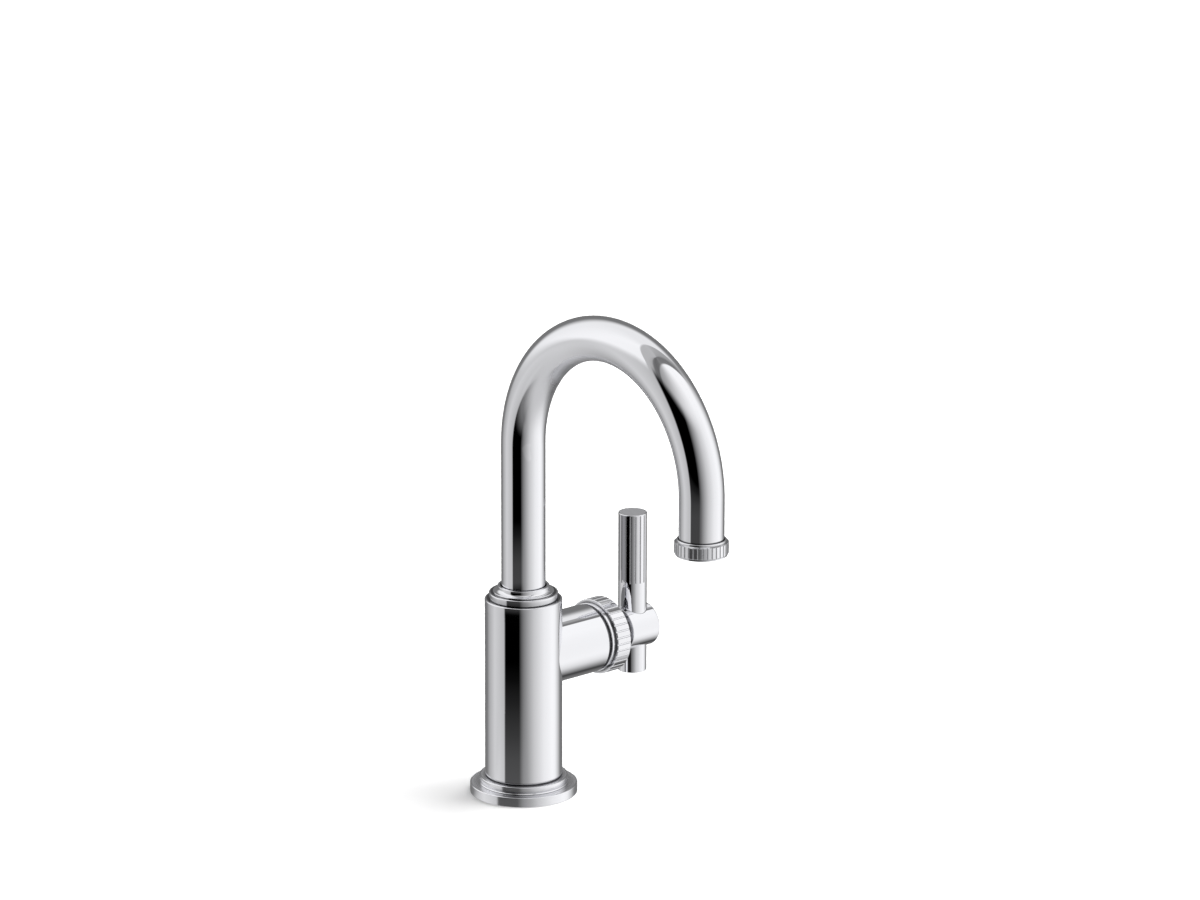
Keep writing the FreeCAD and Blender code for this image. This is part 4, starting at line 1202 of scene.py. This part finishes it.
class FAUCET_OT_stage(bpy.types.Operator):
    """Set the floor, the studio light and the camera"""

    bl_idname = "faucet.stage"
    bl_label = "Stage"

    # Brightness of the studio by its turn from the camera in degrees, positive to the picture's right
    EYE_LEVEL = (
        (-180, 0.22), (-140, 0.24), (-120, 0.46), (-95, 0.68), (-75, 0.60), (-60, 0.52), (-56, 0.0),
        (-12.5, 0.0), (0, 0.20), (32, 0.63), (64, 0.92), (95, 1.05), (108, 1.0), (124, 0.66), (140, 0.30),
        (180, 0.24),
    )
    OVERHEAD = (
        (-180, 0.89), (-150, 0.89), (-120, 0.94), (-96, 1.02), (-66, 0.98), (-62, 0.33), (-42, 0.33),
        (-24, 0.46), (0, 0.66), (32, 0.84), (72, 1.02), (122, 1.05), (140, 0.89), (180, 0.89),
    )
    CEILING = (
        (-180, 0.53), (-62, 0.51), (-55, 0.44), (-51, 0.18), (-44, 0.15), (0, 0.23), (128, 0.20), (136, 0.38),
        (160, 0.47), (180, 0.53),
    )
    GROUND = ((-180, 0.25), (-160, 0.62), (100, 0.64), (122, 0.30), (140, 0.05), (165, 0.08), (180, 0.25))
    # Heights at which the floor, and then the eye-level ring, give way to what is above, and their blur
    FLOOR_EDGE = ((-180, -40), (-140, -45), (85, -45), (120, -33), (170, -33), (180, -40))
    FLOOR_BLUR = 21
    LOWER_EDGE = ((-180, 36), (-150, 16), (-130, -4), (-100, -6), (-76, 28), (-58, 42), (0, 40), (180, 36))
    LOWER_BLUR = 10
    # The turn of each panel overhead, the slope of its near edge and how far that blurs
    PANELS = ((40, 8.8, 0.16), (-142, 4.3, 0.08))
    # The grey card behind the object: how far it hangs under eye level, its soft border and its grey
    CARD_DROP = 0.10
    CARD_BORDER = (30, 56)
    CARD = (0.19, 0.19, 0.19)
    CARD_STRENGTH = 0.95
    # Glows on the floor and beside the outlet: the middle, radius and soft border of each disc, and its light
    # by how far off it is in metres, seen along the reflection
    GLOWS = {
        "floor_glow": ((0.0, 0.0, 0.05 * MM), 1.0, (30, 46), (
            (0.0, 0.10), (0.03, 0.085), (0.065, 0.072), (0.107, 0.042), (0.16, 0.016), (0.20, 0.004),
            (0.233, 0.0), (0.322, 0.0), (0.340, 0.060), (0.376, 0.053), (0.437, 0.009), (0.467, 0.0),
        )),
        "leg_glow": ((0.0, -0.13, 0.14), 0.5, (24, 32), (
            (0.0, 0.057), (0.122, 0.057), (0.136, 0.048), (0.179, 0.032), (0.26, 0.012), (0.41, 0.002),
            (0.5, 0.0),
        )),
    }
    GLOW_TURN = -34  # turn of the middle of both, which is that of the black flag
    # The small flag over the arm: its place, where it turns grey, and how near a piece sees through it
    FLAG_X = 44.5 * MM
    FLAG_Y = (-15 * MM, 40 * MM)
    FLAG_Z = (88.5 * MM, 127 * MM)
    FLAG_LINE = (1 * MM, 3 * MM)
    FLAG_GREY = (0.27, 0.27, 0.28)
    FLAG_NEAR = 20 * MM
    # The soft light: right of the object, toward the camera and over it, and its width
    KEY_PLACE = (1.4, -0.6, 1.9)
    KEY_WIDTH = 2.4

    def execute(self, context):
        stage = context.scene.faucet_stage
        right = Vector((math.cos(stage.bearing), math.sin(stage.bearing), 0.0))
        toward = Vector((right.y, -right.x, 0.0))
        self.floor(stage)
        self.world(context.scene, right, toward)
        self.light(stage, right, toward)
        for name, disc in self.GLOWS.items():
            self.glow(name, self.heading(right, toward, self.GLOW_TURN), *disc)
        self.flag()
        self.camera(context.scene, stage, right, toward)
        context.scene.view_settings.view_transform = "Standard"
        return {"FINISHED"}

    def floor(self, stage):
        """A pale round floor: (r cos q, r sin q, 0)."""
        radii = np.zeros((4, 4))
        radii[:, 0] = (stage.floor_size, 1.0, 0.2, 0.0)
        material, coords = new_finish("pale_floor")
        cloud = grain(coords, 3.0)
        tone = mixed(cloud, stage.floor, [0.985 * c for c in stage.floor])
        shine(material, coords, Base_Color=tone, Roughness=0.9)
        made = self.stand("floor", turned(radii, round_angles(STAGE_ROUND)), material)
        made.visible_glossy = False

    def stand(self, name, grid, material, closed=True):
        """A piece of the stage, from its grid."""
        points, _, faces, _ = surface(grid, wrap_columns=closed)
        mesh = bpy.data.meshes.new(name)
        mesh.from_pydata(points.tolist(), [], faces.tolist())
        mesh.materials.append(material)
        made = bpy.data.objects.new(name, mesh)
        bpy.context.scene.collection.objects.link(made)
        return made

    def mirrored_only(self, made):
        """Let a piece of the stage be seen in the metal and nowhere else."""
        made.visible_camera = False
        made.visible_diffuse = False
        made.visible_shadow = False

    def world(self, scene, right, toward):
        """White behind the object, and soft panels round it that the polished metal shows.

        An eye-level ring of light runs from a black flag on the left to a bright wall on the right. Over it
        hang two flat panels, each bounded by a straight near edge: where rise < slope x reach toward the
        panel.
        """
        world = bpy.data.worlds.new("studio")
        scene.world = world
        world.use_nodes = True
        world.node_tree.nodes.clear()
        ray = Wire(world.node_tree).node("ShaderNodeTexCoord", {}, {}, "Generated")
        rise = self.reach(ray, (0.0, 0.0, 1.0))
        turn = ray.sum("ARCTAN2", self.reach(ray, right), self.reach(ray, toward)) / FULL_TURN + 0.5
        height = ray.sum("ARCSINE", rise, 0.0) / math.pi + 0.5
        panels = [
            self.soft(steep * self.reach(ray, self.heading(right, toward, degrees)) - rise, -blur, blur)
            for degrees, steep, blur in self.PANELS
        ]
        either = ray.sum("MAXIMUM", *panels)
        overhead = mixed(either, self.greys(turn, self.CEILING), self.greys(turn, self.OVERHEAD))
        above = self.over(turn, height, self.LOWER_EDGE, self.LOWER_BLUR)
        room = mixed(above, self.greys(turn, self.EYE_LEVEL), overhead)
        risen = self.over(turn, height, self.FLOOR_EDGE, self.FLOOR_BLUR)
        room = mixed(risen, self.greys(turn, self.GROUND), room)
        card = (-toward - Vector((0.0, 0.0, self.CARD_DROP))).normalized()
        behind = self.within(self.reach(ray, card), self.CARD_BORDER)
        room = mixed(self.CARD_STRENGTH * behind, room, self.CARD)
        seen = ray.node("ShaderNodeLightPath", {}, {}, "Is Camera Ray")
        light = mixed(seen, room, (1.0, 1.0, 1.0))
        backdrop = ray.node("ShaderNodeBackground", {}, {"Color": light})
        ray.node("ShaderNodeOutputWorld", {}, {"Surface": backdrop})

    def heading(self, right, toward, degrees):
        """A level direction, by its turn from the camera."""
        return toward * cosine(degrees) + right * math.sin(math.radians(degrees))

    def reach(self, ray, direction):
        """How far a ray runs in a direction."""
        return ray.node("ShaderNodeVectorMath", {"operation": "DOT_PRODUCT"}, {0: ray, 1: direction}, "Value")

    def soft(self, value, low, high):
        """0 below one value, 1 over another, with a smooth rise between."""
        limits = {"Value": value, "From Min": low, "From Max": high}
        return value.node("ShaderNodeMapRange", {"interpolation_type": "SMOOTHSTEP"}, limits)

    def within(self, value, border):
        """1 where an angle, given by its cosine, is inside a soft border in degrees, and 0 outside."""
        near, far = border
        return self.soft(value, cosine(far), cosine(near))

    def greys(self, turn, stops):
        """Grey round the object, from stops in degrees."""
        placed = [(degrees / 360 + 0.5, grey) for degrees, grey in stops]
        return turn.node("ShaderNodeValToRGB", {"stops": placed}, {"Fac": turn}, "Color")

    def over(self, turn, height, edge, blur):
        """1 over an edge whose height goes by the turn, and 0 under it, both in degrees."""
        line = self.greys(turn, [(place, degrees / 180 + 0.5) for place, degrees in edge])
        return self.soft(height - line, -blur / 180, blur / 180)

    def light(self, stage, right, toward):
        """One wide soft light from the right, for the floor and its shadow. The metal doesn't show it."""
        aside, ahead, over = self.KEY_PLACE
        place = right * aside + toward * ahead + Vector((0.0, 0.0, over))
        data = bpy.data.lights.new("key", "AREA")
        data.size = self.KEY_WIDTH
        data.energy = stage.key
        made = bpy.data.objects.new("key", data)
        made.location = place
        made.rotation_euler = (-place).to_track_quat("-Z", "Y").to_euler()
        made.visible_glossy = False
        made.visible_camera = False
        bpy.context.scene.collection.objects.link(made)

    def glow(self, name, side, middle, radius, border, stops):
        """A faint glow on a level disc, that greys the black flag low on a polished piece.

        The barrel shows the floor's from near by, the riser again from further off, and the lower leg has
        its own.
        """
        material, coords = new_finish(name)
        out = coords.node("ShaderNodeVectorMath", {"operation": "SUBTRACT"}, {0: coords, 1: middle}, "Vector")
        distance = out.node("ShaderNodeVectorMath", {"operation": "LENGTH"}, {0: out}, "Value")
        off = coords.node("ShaderNodeLightPath", {}, {}, "Ray Length")
        glow = coords.node("ShaderNodeValToRGB", {"stops": stops}, {"Fac": off}, "Color")
        light = mixed(self.within(self.reach(out, side) / distance, border), (0, 0, 0), glow)
        lit = coords.node("ShaderNodeEmission", {}, {"Color": light})
        clear = coords.node("ShaderNodeBsdfTransparent", {}, {})
        both = coords.node("ShaderNodeAddShader", {}, {0: lit, 1: clear})
        coords.node("ShaderNodeOutputMaterial", {}, {"Surface": both})
        disc = np.zeros((2, 4))
        disc[0, 0] = radius
        grid = turned(disc, round_angles(STAGE_ROUND))[..., :3] + np.array(middle)
        self.mirrored_only(self.stand(name, grid, material))

    def flag(self):
        """A small flag over the arm, that the lever shows. It is clear from behind and to nearer pieces.

        It is black as far as it hides the riser, and grey beyond.
        """
        material, coords = new_finish("lever_flag")
        behind = coords.node("ShaderNodeNewGeometry", {}, {}, "Backfacing")
        off = coords.node("ShaderNodeLightPath", {}, {}, "Ray Length")
        near = coords.sum("LESS_THAN", off, self.FLAG_NEAR)
        beyond = self.soft(self.reach(coords, (0.0, 1.0, 0.0)), *self.FLAG_LINE)
        grey = mixed(beyond, (0.0, 0.0, 0.0), self.FLAG_GREY)
        card = coords.node("ShaderNodeEmission", {}, {"Color": grey})
        clear = coords.node("ShaderNodeBsdfTransparent", {}, {})
        either = coords.sum("MAXIMUM", behind, near)
        both = coords.node("ShaderNodeMixShader", {}, {0: either, 1: card, 2: clear})
        coords.node("ShaderNodeOutputMaterial", {}, {"Surface": both})
        across, up = np.meshgrid(self.FLAG_Y, self.FLAG_Z)
        grid = np.stack((np.full_like(up, self.FLAG_X), across, up), -1)
        self.mirrored_only(self.stand("lever_flag", grid, material, False))

    def camera(self, scene, stage, right, toward):
        """A long lens at the photograph's angle, its line through a point beside and over the foot."""
        back = toward * math.cos(stage.height) + Vector((0.0, 0.0, math.sin(stage.height)))
        up = back.cross(right)
        data = bpy.data.cameras.new("camera")
        data.lens = stage.lens
        data.shift_x = stage.shift_x
        data.shift_y = stage.shift_y
        data.clip_end = 100.0
        made = bpy.data.objects.new("camera", data)
        place = right * stage.aside + up * stage.above + back * stage.distance
        turn = Matrix((right, up, back)).transposed().to_4x4()
        made.matrix_world = Matrix.Translation(place) @ turn
        scene.collection.objects.link(made)
        scene.camera = made


OPERATORS = (
    FAUCET_OT_base,
    FAUCET_OT_body,
    FAUCET_OT_spout_seat,
    FAUCET_OT_spout,
    FAUCET_OT_outlet,
    FAUCET_OT_bonnet,
    FAUCET_OT_hub,
    FAUCET_OT_lever,
    FAUCET_OT_under_deck,
    FAUCET_OT_inner,
    FAUCET_OT_stage,
)


class FAUCET_PT_pieces(bpy.types.Panel):
    """The faucet's pieces, sizes and finishes"""

    bl_idname = "FAUCET_PT_pieces"
    bl_label = "Faucet"
    bl_space_type = "VIEW_3D"
    bl_region_type = "UI"
    bl_category = "Faucet"

    def draw(self, context):
        column = self.layout.column()
        for operator in OPERATORS:
            column.operator(operator.bl_idname)
        for group in (context.scene.faucet_sizes, context.scene.faucet_finishes, context.scene.faucet_stage):
            for name in group.__annotations__:
                column.prop(group, name)


CLASSES = (FaucetSizes, FaucetFinishes, FaucetStage, *OPERATORS, FAUCET_PT_pieces)


def register():
    for entry in CLASSES:
        bpy.utils.register_class(entry)
    bpy.types.Scene.faucet_sizes = PointerProperty(type=FaucetSizes)
    bpy.types.Scene.faucet_finishes = PointerProperty(type=FaucetFinishes)
    bpy.types.Scene.faucet_stage = PointerProperty(type=FaucetStage)


def unregister():
    del bpy.types.Scene.faucet_stage
    del bpy.types.Scene.faucet_finishes
    del bpy.types.Scene.faucet_sizes
    for entry in reversed(CLASSES):
        bpy.utils.unregister_class(entry)


def main():
    register()
    bpy.ops.faucet.base()
    bpy.ops.faucet.body()
    bpy.ops.faucet.spout_seat()
    bpy.ops.faucet.spout()
    bpy.ops.faucet.outlet()
    bpy.ops.faucet.bonnet()
    bpy.ops.faucet.hub()
    bpy.ops.faucet.lever()
    bpy.ops.faucet.under_deck()
    bpy.ops.faucet.inner()
    bpy.ops.faucet.stage()


if __name__ == "__main__":
    main()
